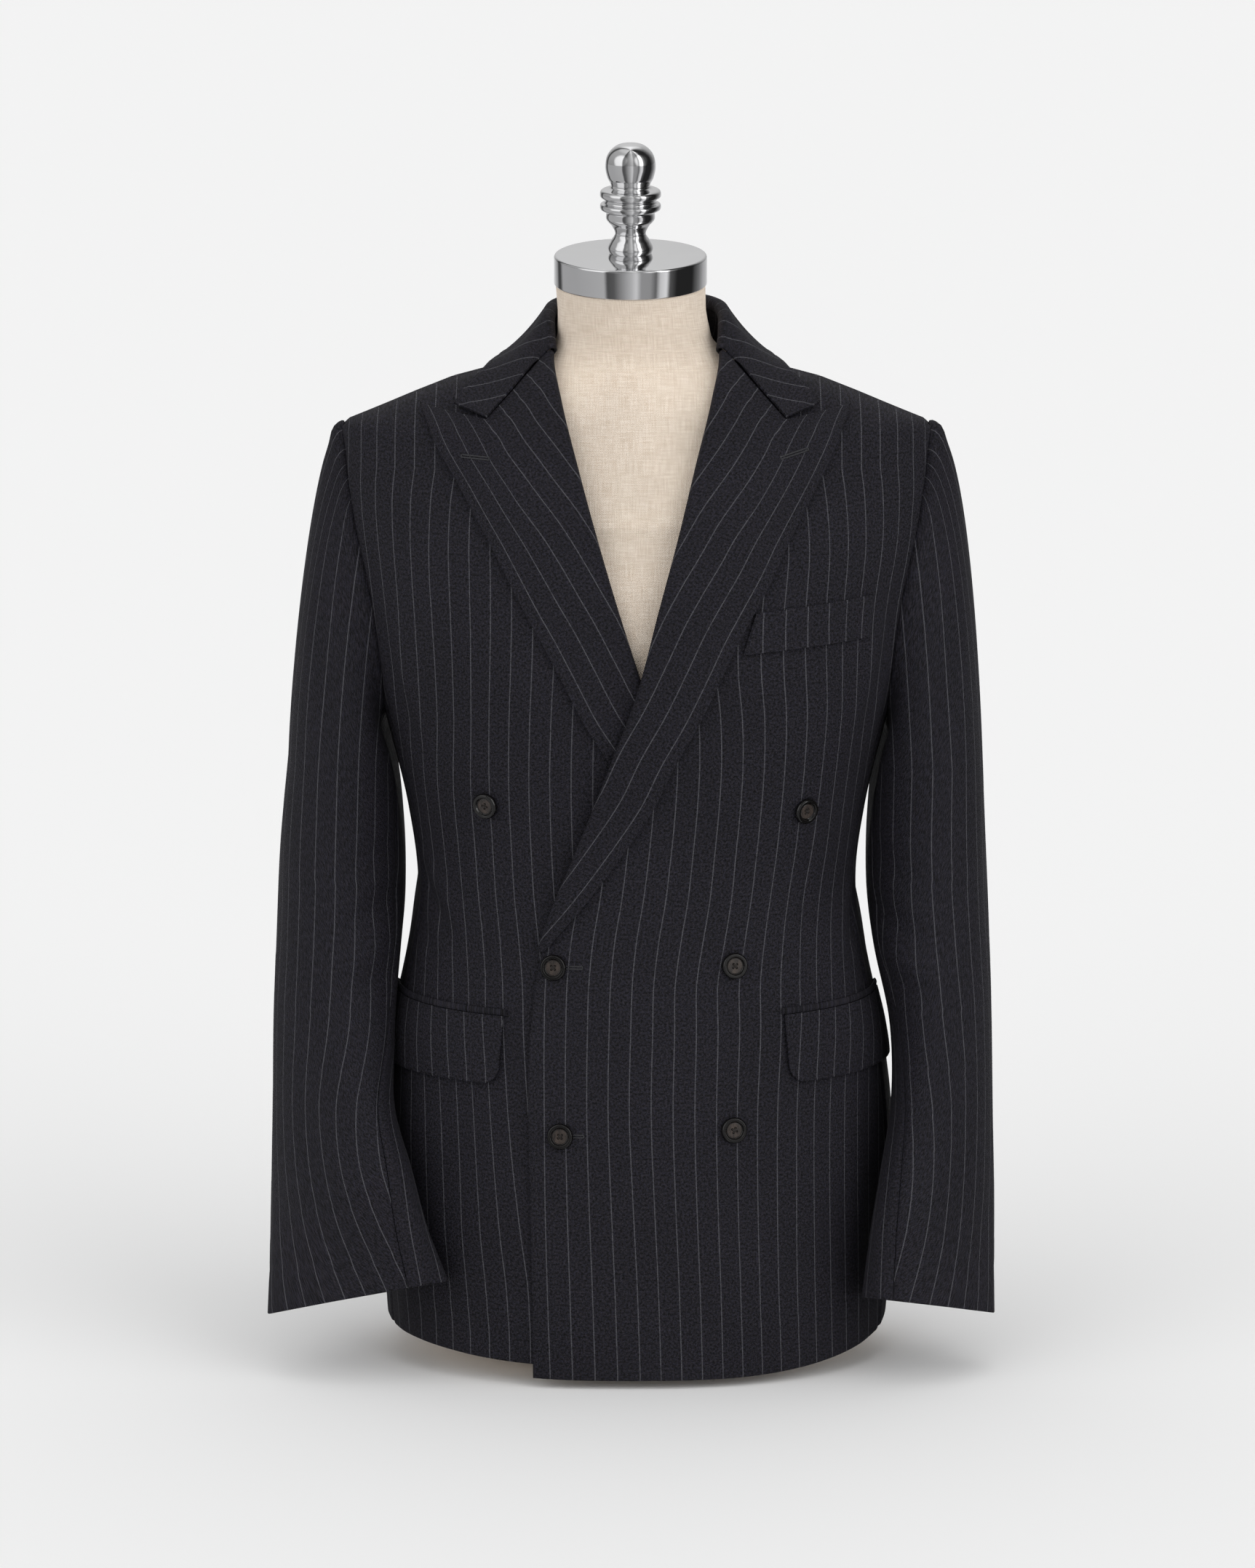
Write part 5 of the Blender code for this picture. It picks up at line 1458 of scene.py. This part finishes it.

# %% [markdown]
# ## Sleeves
#
# A tailored sleeve is two pieces: a top sleeve over the outside and a narrower one under it. It
# hangs from the armhole as a bent tube, a little full at the head, where the maker ropes it: the
# seam allowance inside pushes the cloth up into a low ridge. Listed creases break it at the
# elbow.


# %% Sleeves
SLEEVE_LENGTH, SLEEVE_ROUND = 0.70, 0.055   # down it, and metres for each radian round
SLEEVE_CREASES = {       # degrees round, down, degrees round, down, half width, depth
    LEFT: ((95, 0.400, 160, 0.372, 0.011, -0.0030), (90, 0.430, 150, 0.412, 0.011, 0.0022),
           (88, 0.455, 145, 0.440, 0.010, -0.0020), (100, 0.350, 150, 0.325, 0.012, -0.0016),
           (60, 0.120, 84, 0.260, 0.014, -0.0018), (38, 0.100, 50, 0.240, 0.014, 0.0010),
           (300, 0.180, 322, 0.400, 0.018, -0.0018), (280, 0.330, 330, 0.372, 0.012, -0.0020),
           (275, 0.380, 325, 0.415, 0.012, 0.0016), (20, 0.600, 55, 0.690, 0.012, -0.0014),
           (330, 0.520, 350, 0.660, 0.016, 0.0014), (200, 0.180, 240, 0.300, 0.014, -0.0014),
           (5, 0.300, 20, 0.420, 0.018, -0.0012), (70, 0.520, 78, 0.640, 0.010, -0.0012)),
    RIGHT: ((92, 0.390, 158, 0.360, 0.011, -0.0028), (92, 0.422, 150, 0.400, 0.011, 0.0020),
            (86, 0.450, 146, 0.432, 0.010, -0.0022), (96, 0.340, 150, 0.316, 0.012, -0.0014),
            (58, 0.110, 80, 0.250, 0.014, -0.0020), (34, 0.090, 46, 0.220, 0.014, 0.0012),
            (298, 0.190, 318, 0.380, 0.018, -0.0020), (278, 0.340, 326, 0.384, 0.012, -0.0018),
            (272, 0.392, 322, 0.426, 0.012, 0.0016), (24, 0.590, 60, 0.680, 0.012, -0.0012),
            (336, 0.500, 352, 0.640, 0.016, 0.0012), (200, 0.200, 238, 0.310, 0.014, -0.0012),
            (8, 0.320, 26, 0.440, 0.018, -0.0014), (66, 0.500, 76, 0.630, 0.010, -0.0014)),
}


def sleeve_angle(u, v, upper):
    """How far round the sleeve a share of the top or under piece lies."""
    fore, hind = np.radians(SLEEVE_SEAMS.at("fore", u)), np.radians(SLEEVE_SEAMS.at("hind", u))
    start, end = (hind - 2 * math.pi, fore) if upper else (fore, hind)
    return start + (end - start) * v


def sleeve_relief(side, upper):
    """Creases by angle and distance down, the roped head, rolled seams and the cuff's turn-in."""
    def relief(u, v, edges):
        left, right, low, high = edges
        degrees = np.degrees(sleeve_angle(u, v, upper)) % 360.0
        scale = math.radians(1.0) * SLEEVE_ROUND
        creases = [(a * scale, b, c * scale, d, width, depth)
                   for a, b, c, d, width, depth in SLEEVE_CREASES[side]]
        folds = crease_sum(creases, degrees * scale, u * SLEEVE_LENGTH)
        head = np.clip(np.cos(np.radians(degrees)), 0.0, 1.0) ** 0.7
        rope = head * (0.0013 * bell(low - 0.0090, 0.0070) - 0.0004 * bell(low - 0.022, 0.010))
        ease_in = 0.0006 * head * np.sin(degrees * 0.9) * bell(low - 0.012, 0.012)
        cuff = -0.0003 * bell(high - 0.038, 0.003)
        return (folds + rope + ease_in + cuff - SEAM_ROLL * bell(low, 0.002)
                + seam_roll(left) + seam_roll(right))
    return relief


def sleeve_stripe(side, upper):
    """Cloth round from the outside line; over the head, upright planes. The under one is askew."""
    def stripe(u, v, grid):
        left, _, low, _ = from_edges(grid)
        if not upper:
            return left / PITCH + 0.3 + 1.1 * u, low
        angle = sleeve_angle(u, v, upper)
        middle = np.argmin(np.abs(angle), axis=1)[:, None]
        start = np.take_along_axis(left, middle, axis=1)
        round_way = left - start + np.take_along_axis(angle, middle, axis=1) * SLEEVE_ROUND
        turn = np.linspace(0.0, math.pi, 61)
        ring_cloth = sleeve(side, np.full(61, SLEEVE_CAP), turn)
        ring_cloth = np.pad(np.linalg.norm(np.diff(ring_cloth, axis=0), axis=-1).cumsum(), (1, 0))
        line = sleeve(side, np.linspace(0.02, SLEEVE_CAP, 60), np.zeros(60))
        edge_x = np.interp(grid[..., 2], line[::-1, 2], np.abs(line[::-1, 0]))
        half = SLEEVES[side].at("half_width", 0.0)
        swing = np.arccos(np.clip(1.0 - (edge_x - np.abs(grid[..., 0])) / half, -1.0, 1.0))
        plane = np.sign(angle) * np.interp(swing, turn, ring_cloth)
        share = smooth((np.abs(np.degrees(angle)) - 22.0) / 34.0) * (u < SLEEVE_CAP)
        return (round_way + (plane - round_way) * share) / PITCH + 0.35, low
    return stripe


for side, word in ((LEFT, "left"), (RIGHT, "right")):
    for upper, part in ((True, "top"), (False, "under")):
        sew(f"cloth_sleeve_{part}_{word}", sleeve_panel(side, upper), steps(128),
            steps(84 if upper else 40), side == LEFT, sleeve_stripe(side, upper), cloth, "hung",
            ["cloth_front_" + word, "cloth_back_" + word], sleeve_relief(side, upper),
            f"sleeve_{part}_{word}")

# %% [markdown]
# ## Lapels and collar
#
# A lapel is the top of the front, turned over at the roll line, and the roll is never pressed flat.
# Here the cloth goes half a turn round a 2.6 mm fold, then lies down on the chest. Five millimetres
# in from the edge runs a row of pick stitches, which pinches the cloth a little: a shallow groove
# with a fuller edge outside it. The collar is the same idea, carried round the neck.


# %% Lapels and collar
def stitched_edge(distance):
    """A groove under the pick stitches and a fuller edge beyond it."""
    return -0.00035 * bell(distance - 0.005, 0.0013) + 0.0002 * bell(distance - 0.0022, 0.0016)


def lapel_relief(w, v, edges):
    """Stitched along the free edge and the top; the stretch below the notch stays flat."""
    _, right, _, high = edges
    wide = smooth((high[:1] - 0.010) / 0.010)
    return stitched_edge(high) * wide + stitched_edge(right) * (fold_and_leaf(w)[1] > 0.52)


def lapel_stripe(w, v, grid):
    """Stripes lie parallel to the free edge."""
    left, _, _, high = from_edges(grid)
    return high / PITCH + 0.42, left


def collar_relief(w, v, edges):
    """Stitched all round the fall, but not where its ends meet the lapels."""
    left, right, _, high = edges
    ends = (stitched_edge(left) + stitched_edge(right)) * (fold_and_leaf(w)[1] > 0.70)
    return stitched_edge(high) + ends


def collar_stripe(w, v, grid):
    """Stripes cross the collar square to its fold: a few steps find the nearest place on it."""
    point = np.stack([np.abs(grid[..., 0]), grid[..., 1], grid[..., 2]], axis=-1)
    near = 1.0 - np.abs(2.0 * v - 1.0)
    marks = np.linspace(0.0, 1.0, 201)
    line = collar_fold(1.0 - marks)
    length = np.pad(np.linalg.norm(np.diff(line, axis=0), axis=-1).cumsum(), (1, 0))
    for _ in range(5):
        here, ahead, behind = (collar_fold(1.0 - np.clip(near + step, 0, 1))
                               for step in (0.0, 0.01, -0.01))
        off = ((point - here) * unit(ahead - behind)).sum(axis=-1)
        place = np.interp(near, marks, length) + off
        near = near + 0.6 * (np.interp(place, length, marks) - near)
    first = 0.35
    last = math.floor(length[-1] / PITCH + first) + 0.5   # the centre back falls between stripes
    return place * (last - first) / length[-1] + first, from_edges(grid)[2]


fold_steps = np.concatenate([np.linspace(0.0, FOLD_SHARE, 13)[:-1],
                             FOLD_SHARE + (1.0 - FOLD_SHARE) * np.linspace(0.0, 0.86, 44),
                             FOLD_SHARE + (1.0 - FOLD_SHARE) * np.linspace(0.873, 1.0, 14)])
for side, word in ((LEFT, "left"), (RIGHT, "right")):
    sew("cloth_lapel_" + word, lapel(side), fold_steps, steps(150), side == RIGHT, lapel_stripe,
        [worsted, worsted], "folded", ["cloth_front_" + word], lapel_relief, "lapel_" + word)
sew("cloth_collar", collar, fold_steps, steps(150), False, collar_stripe, [worsted, worsted],
    "folded", ["cloth_back_left", "cloth_back_right"], collar_relief, "collar")
sew("cloth_collar_stand", stand, np.linspace(0, 1, 16), steps(90), False,
    stripe_across("first", 0.2), [worsted, worsted], "gathered",
    ["cloth_back_left", "cloth_back_right"], None, "collar_stand")

# %% [markdown]
# ## Pockets
#
# Each hip pocket has a narrow jet above and a flap that hangs from it, cut so that its stripes meet
# the front's. The breast pocket has a slanting welt. They lie within 3 mm of the front, so each is
# the front's own surface moved out a little, with its edges rounded down.


# %% Flaps, jets and welt
def edge_round(distance, amount=0.0007, width=0.002):
    """Down by a bell of the distance from an edge."""
    return -amount * bell(distance, width)


def flap_relief(u, v, edges):
    """Rounded and stitched on three sides, and a little full in the middle."""
    left, right, _, high = edges
    edge = np.minimum(np.minimum(left, right), high)
    swell = 0.0012 * np.sin(math.pi * np.clip(u, 0, 1)) * np.sin(math.pi * v)
    return edge_round(edge) + swell - 0.00030 * bell(edge - 0.0055, 0.0014)


def welt_stripe(u, v, grid):
    """The same stripe number as the front has underneath, which lies a little further in."""
    height = grid[..., 2]
    turn = turn_at(height, np.abs(grid[..., 0]) * 0.985)
    return front_stripe(LEFT, height, turn), height


def flap_stripe(side):
    """As the front's at the flap's front end, then at the pitch."""
    def stripe(u, v, grid):
        left = from_edges(grid)[0]
        start = turn_at(FLAP_TOP, np.array(FLAP_FRONT[side]))
        first = float(front_stripe(side, np.array(FLAP_TOP), start))
        set_back = np.abs(grid[:, :1, 0]) - np.abs(grid[:1, :1, 0])
        return first + (left + set_back) / PITCH + 0.25 * u, grid[..., 2]
    return stripe


def welt_relief(u, v, edges):
    """Rounded at its ends and top, with a row of stitches at each end."""
    left, right, low, _ = edges
    edge = np.minimum(np.minimum(left, right), low)
    return edge_round(edge) - 0.00025 * bell(np.minimum(left, right) - 0.003, 0.0010)


def jet_relief(u, v, edges):
    """Rounded along both its long edges."""
    return edge_round(edges[2], 0.0008, 0.0014) + edge_round(edges[3], 0.0008, 0.0014)


def jet_stripe(u, v, grid):
    """Cut along the cloth between two stripes, so it shows none."""
    return 0.5 + 0.02 * v, from_edges(grid)[0]


for side, word in ((LEFT, "left"), (RIGHT, "right")):
    flip = side == RIGHT
    sew("cloth_flap_" + word, flap(side), steps(28), steps(60), flip, flap_stripe(side),
        [worsted, lining], "laid", ["cloth_front_" + word], flap_relief, "flap_" + word)
    sew("cloth_jet_" + word, jet(side), np.linspace(0, 1, 9), steps(90), flip, jet_stripe,
        [worsted, worsted], "laid", ["cloth_front_" + word], jet_relief, "jet_" + word)
sew("cloth_breast_welt", welt, steps(26), steps(70), False, welt_stripe,
    [worsted, worsted], "laid", ["cloth_front_left"], welt_relief, "breast_welt")

# %% [markdown]
# ## Buttons
#
# Six horn buttons with four holes: a round rim, a dished middle, and holes that go in straight. The
# button is a height over a disc of rings, lowered steeply inside four small circles, so it needs no
# Boolean cut and keeps round edges. Two thread crosses run down into the holes.

# %% Buttons
HOLE_OUT, HOLE_RADIUS, HOLE_DEPTH = 0.0019, 0.00085, 0.0019
BUTTON_COLUMNS = 112


def button_height(radius, angle):
    """The top: dished inside 62 per cent, a bank up to a round rim, four holes let in."""
    share = radius / BUTTON_RADIUS
    dish = 0.58 + 0.42 * smooth((share - 0.60) / 0.14)
    rim = dish - 0.48 * np.clip((share - 0.86) / 0.14, 0.0, 1.0) ** 2.2
    groove = -0.05 * bell(share - 0.585, 0.02)
    x, y = radius * np.cos(angle), radius * np.sin(angle)
    deep = 0.0
    for k in range(4):
        a = math.pi / 4 + k * math.pi / 2
        off = np.hypot(x - HOLE_OUT * math.cos(a), y - HOLE_OUT * math.sin(a))
        deep = deep + 1.0 - smooth((off - HOLE_RADIUS + 0.0002) / 0.0003)
    return (rim + groove) * BUTTON_THICK - deep * HOLE_DEPTH


def frame_at(side, x, height, out):
    """A place on the front, its outward normal, and the way along and up there."""
    place = on_front(side, np.array(x), np.array(height), out)
    axis = unit(on_front(side, np.array(x), np.array(height), out + 0.001) - place)
    up_way = unit(np.array([0.0, 0.0, 1.0]) - axis * axis[2])
    return place, axis, np.cross(up_way, axis), up_way


def thread_strand(start, end, bow, out, radius=0.00032):
    """A bow between two holes: a round section carried along a half sine."""
    t = np.linspace(-0.12, 1.12, 22)[:, None]
    past_end = np.maximum(np.abs(t - 0.5) - 0.5, 0.0)
    rise = bow * np.sin(math.pi * np.clip(t, 0, 1)) - 0.0096 * past_end
    line = start + (end - start) * t + out * rise
    way = unit(np.gradient(line, axis=0))
    side_way = unit(np.cross(way, out))
    top_way = np.cross(side_way, way)
    angle = np.linspace(0, 2 * math.pi, 10, endpoint=False)
    rings = (line[:, None] + radius * (np.cos(angle)[None, :, None] * side_way[:, None]
                                       + np.sin(angle)[None, :, None] * top_way[:, None]))
    length = np.concatenate([[0.0], np.linalg.norm(np.diff(line, axis=0), axis=1).cumsum()])
    uv = np.stack(np.broadcast_arrays(angle[None] / (2 * math.pi), length[:, None]), axis=-1)
    return rings, uv


def join_tubes(name, tubes, material):
    """Several open tubes, each closed by a fan, as one mesh."""
    points, uvs, faces, base = [], [], [], 0
    for rings, uv in tubes:
        points.append(with_middles(rings))
        uvs += [uv.reshape(-1, 2), uv[:1, 0], uv[-1:, 0]]
        faces += tube_faces(*rings.shape[:2], base)
        base += len(points[-1])
    piece = put_mesh(name, np.concatenate(points), faces, np.concatenate(uvs), [material])
    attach(piece, "root")
    return piece


def sew_button(name, side, x, height, twist):
    """Rings of the top from the middle out, round the rim and back under, with a small twist."""
    seat, axis, right_way, up_way = frame_at(side, x, height, 0.0)
    radius = np.concatenate([np.linspace(0.00012, 0.0037, 40),
                             np.linspace(0.0039, BUTTON_RADIUS, 40)])
    angle = np.linspace(0, 2 * math.pi, BUTTON_COLUMNS, endpoint=False)
    r, a = np.meshgrid(radius, angle, indexing="ij")
    low = np.array([(1.0, 0.30), (0.985, 0.14), (0.95, 0.04), (0.88, 0.0), (0.5, 0.0), (0.02, 0.0)])
    under = (len(low), BUTTON_COLUMNS)
    top = np.concatenate([button_height(r, a), np.broadcast_to(low[:, 1:] * BUTTON_THICK, under)])
    r = np.concatenate([r, np.broadcast_to(low[:, :1] * BUTTON_RADIUS, under)])
    a = np.concatenate([a, a[:len(low)]]) + twist
    rings = (seat + axis * (0.0005 + top[..., None]) + right_way * (r * np.cos(a))[..., None]
             + up_way * (r * np.sin(a))[..., None])
    share = np.concatenate([radius / BUTTON_RADIUS, low[:, 0]])
    uv = np.stack(np.broadcast_arrays(share[:, None], angle[None]), axis=-1)
    closed_tube("horn_" + name, rings[::-1], uv[::-1], horn, name)
    tubes = []
    top_seat = seat + axis * (0.0005 + 0.58 * BUTTON_THICK)
    corners = [right_way * math.cos(t) + up_way * math.sin(t)
               for t in (twist + math.pi / 4 + k * math.pi / 2 for k in range(4))]
    for k in (0, 1):
        across = np.cross(axis, corners[k]) * 0.00030
        for sign in (-1, 1):
            tubes.append(thread_strand(top_seat + corners[k] * HOLE_OUT + sign * across,
                                       top_seat + corners[k + 2] * HOLE_OUT + sign * across,
                                       0.00035 + 0.0003 * k, axis))
    shank = np.linspace(0.0, 1.0, 5)[:, None, None] * 0.0012
    circle = right_way * np.cos(angle[::8])[:, None] + up_way * np.sin(angle[::8])[:, None]
    tubes.append((seat + axis * (shank - 0.0004) + circle * 0.0016,
                  np.stack(np.broadcast_arrays(angle[None, ::8], shank[:, 0]), axis=-1)))
    join_tubes("thread_" + name, tubes, button_thread)


for (name, side, x, height), twist in zip(BUTTONS, (0.15, 0.60, -0.10, 0.05, 0.35, -0.05)):
    sew_button("button_" + name, side, x, height, twist)
print("buttons", BUTTON_RADIUS * 2000, "mm across")

# %% [markdown]
# ## Worked buttonholes
#
# A buttonhole is a slit bound with close thread loops that stand up as a rib. A flattened tube goes
# round a long loop, and its radius beats with a sine for every stitch. Two are by the front edge,
# half under their buttons, and one is on each lapel, towards the peak.


# %% Buttonholes
def worked_hole(name, start, end, normal, half_gap=0.00035, radius=0.00062):
    """A tube round a slot: two straight sides joined by half circles, ribbed by a sine."""
    middle, way = (start + end) / 2, unit(end - start)
    side_way = np.cross(normal, way)
    offset = half_gap + radius
    straight = np.linalg.norm(end - start) / 2 - offset
    count, around_count = 420, 10
    turn = np.linspace(0, 2 * math.pi, count, endpoint=False)
    place_x = np.clip(np.cos(turn) * 1.25, -1, 1) * straight
    bend_x = np.cos(turn) * offset * (np.abs(np.cos(turn)) > 0.8)
    place_y = np.clip(np.sin(turn) * 1.7, -1, 1) * offset
    path = middle + way * (place_x + bend_x)[:, None] + side_way * place_y[:, None]
    step = unit(np.roll(path, -1, axis=0) - np.roll(path, 1, axis=0))
    out = unit(np.cross(step, normal))
    around = np.linspace(0, 2 * math.pi, around_count, endpoint=False)
    length = np.linalg.norm(np.roll(path, -1, axis=0) - path, axis=1).cumsum()
    beat = radius * (1.0 + 0.16 * np.sin(2 * math.pi * length / 0.0007))[:, None, None]
    rings = path[:, None] + beat * (np.cos(around)[None, :, None] * out[:, None]
                                    + 0.62 * np.sin(around)[None, :, None] * normal)
    index = np.arange(count * around_count).reshape(count, around_count)
    ahead, after = np.roll(index, -1, axis=0), np.roll(index, -1, axis=1)
    faces = np.stack([index, ahead, np.roll(ahead, -1, axis=1), after], axis=-1).reshape(-1, 4)
    uv = np.stack(np.broadcast_arrays(around[None] / (2 * math.pi), length[:, None]), axis=-1)
    piece = put_mesh(name, rings.reshape(-1, 3), faces, uv.reshape(-1, 2), [sewing_thread])
    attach(piece, "root")


HOLES = (("lapel_left", LEFT, (0.1085, 0.7095), (0.1290, 0.7156), 0.0041),
         ("lapel_right", RIGHT, (0.1110, 0.7090), (0.1318, 0.7106), 0.0041),
         ("edge_middle", LEFT, (-0.0640, 0.3266), (-0.0410, 0.3269), 0.0),
         ("edge_lower", LEFT, (-0.0600, 0.1985), (-0.0402, 0.1986), 0.0))
for name, side, first, last, out in HOLES:
    ends = [frame_at(side, *place, out + 0.00015) for place in (first, last)]
    worked_hole("buttonhole_" + name, ends[0][0], ends[1][0], unit(ends[0][1] + ends[1][1]))
print("worked buttonholes:", len(HOLES))

# %% [markdown]
# ## Pick stitches
#
# Along the lapels, collar, front edge and flaps runs a row of tiny stitches, made by hand or to
# look so. Each is a grain of thread that sinks at both ends. All grains of a row are one mesh,
# placed by arrays: a ball of few faces is stretched along the row at every stitch.


# %% Pick stitches
def pick_stitches(name, path, out, spacing=0.0046, long=0.00085, wide=0.00026):
    """Evenly along the path: each a small ball, long on the path and flat on the cloth."""
    length = np.concatenate([[0.0], np.linalg.norm(np.diff(path, axis=0), axis=1).cumsum()])
    at = np.arange(spacing / 2, length[-1], spacing)

    def along(values, reach=0.0):
        return np.stack([np.interp(at + reach, length, values[:, k]) for k in range(3)], axis=-1)

    place, up_way = along(path), unit(along(out))
    way = unit(along(path, 0.0008) - along(path, -0.0008))
    side_way = np.cross(up_way, way)
    polar = np.linspace(0.15, math.pi - 0.15, 6)[:, None]
    turn = np.linspace(0, 2 * math.pi, 8, endpoint=False)[None]
    local = np.stack(np.broadcast_arrays(np.cos(polar), np.sin(polar) * np.cos(turn),
                                         np.sin(polar) * np.sin(turn)), axis=-1)
    balls = (place[:, None, None] + local[None, ..., :1] * way[:, None, None] * long
             + local[None, ..., 1:2] * side_way[:, None, None] * wide
             + local[None, ..., 2:] * up_way[:, None, None] * wide * 0.8)
    uv = np.stack(np.broadcast_arrays(turn / (2 * math.pi), polar * long), axis=-1)
    return join_tubes(name, [(ball[::-1], uv[::-1]) for ball in balls], sewing_thread)


def along_face(face, u, v, flip, out=0.00005):
    """Points and outward normals of a face along a line of its two shares."""
    e = 1e-3
    step_u = face(np.minimum(u + e, 1), v) - face(np.maximum(u - e, 0), v)
    step_v = face(u, np.minimum(v + e, 1)) - face(u, np.maximum(v - e, 0))
    normal = unit(np.cross(step_u, step_v)) * (-1.0 if flip else 1.0)
    return face(u, v) + normal * (out - 0.0003), normal


STITCH_INSET = 0.005
LEAF = 1.0 - FOLD_SHARE
rows = []                # piece, its face, first and second share, whether it is flipped
for side, word in ((LEFT, "left"), (RIGHT, "right")):
    leaf, flip = lapel(side), side == RIGHT
    v = np.linspace(0.10, 0.985, 260)
    wide = np.linalg.norm(leaf(np.ones_like(v), v) - leaf(FOLD_SHARE + 0 * v, v), axis=-1)
    w = 1.0 - LEAF * STITCH_INSET / np.maximum(wide, STITCH_INSET * 1.5)
    rows.append(("lapel_" + word, leaf, w, v, flip))
    w = np.linspace(0.965, FOLD_SHARE + LEAF * 0.60, 80)
    rows.append(("lapel_" + word, leaf, w, 0.9865, flip))
rows.append(("collar", collar, 1.0 - LEAF * 0.105, np.linspace(0.02, 0.98, 300), False))
for end in (0.012, 0.988):
    rows.append(("collar", collar, np.linspace(0.90, FOLD_SHARE + LEAF * 0.76, 20), end, False))
u = np.linspace(0.012, LAPEL_LOW / NECK_HEIGHT - 0.004, 200)
rows.append(("front_left", front_panel(LEFT), u, 0.0165, True))
for side, word in ((LEFT, "left"), (RIGHT, "right")):
    face, flip = flap(side), side == RIGHT
    rows.append(("flap_" + word, face, 0.905, np.linspace(0.035, 0.955, 120), flip))
    rows.append(("flap_" + word, face, np.linspace(0.08, 0.86, 40), 0.040, flip))
for end in (0.03, 0.97):
    rows.append(("breast_welt", welt, np.linspace(0.06, 0.94, 40), end, False))
ROWS = {}
for place, face, u, v, flip in rows:
    made = ROWS.setdefault("cloth_" + place, [])
    path, out = along_face(face, *np.broadcast_arrays(u, v), flip)
    made.append(pick_stitches(f"stitches_{place}_{len(made)}", path, out))
print("rows of pick stitches:", len(rows))

# %% [markdown]
# ## The cloth's cut sizes
#
# Each cut piece has the size it would be cut to: its widest row, its longest column and its flat
# area, all measured on the finished surface. The loop below lengthens a jet's sizes and bounds each
# area, but keeps none of the results.

for name, (width, length, area, held, rests_on, piece) in CUTS.items():
    if "jet" in name:
        length, area = 2 * length, 1.35 * area   # a jet is a strip turned in at both edges
    area = min(max(area, 0.301 * width * length), 1.0 * width * length)
print("cloth in all:", round(sum(c[2] for c in CUTS.values()), 2), "square metres")

# %% Rounding to five places
def plain(corners):
    return [[round(float(c), 5) for c in corner] for corner in corners]
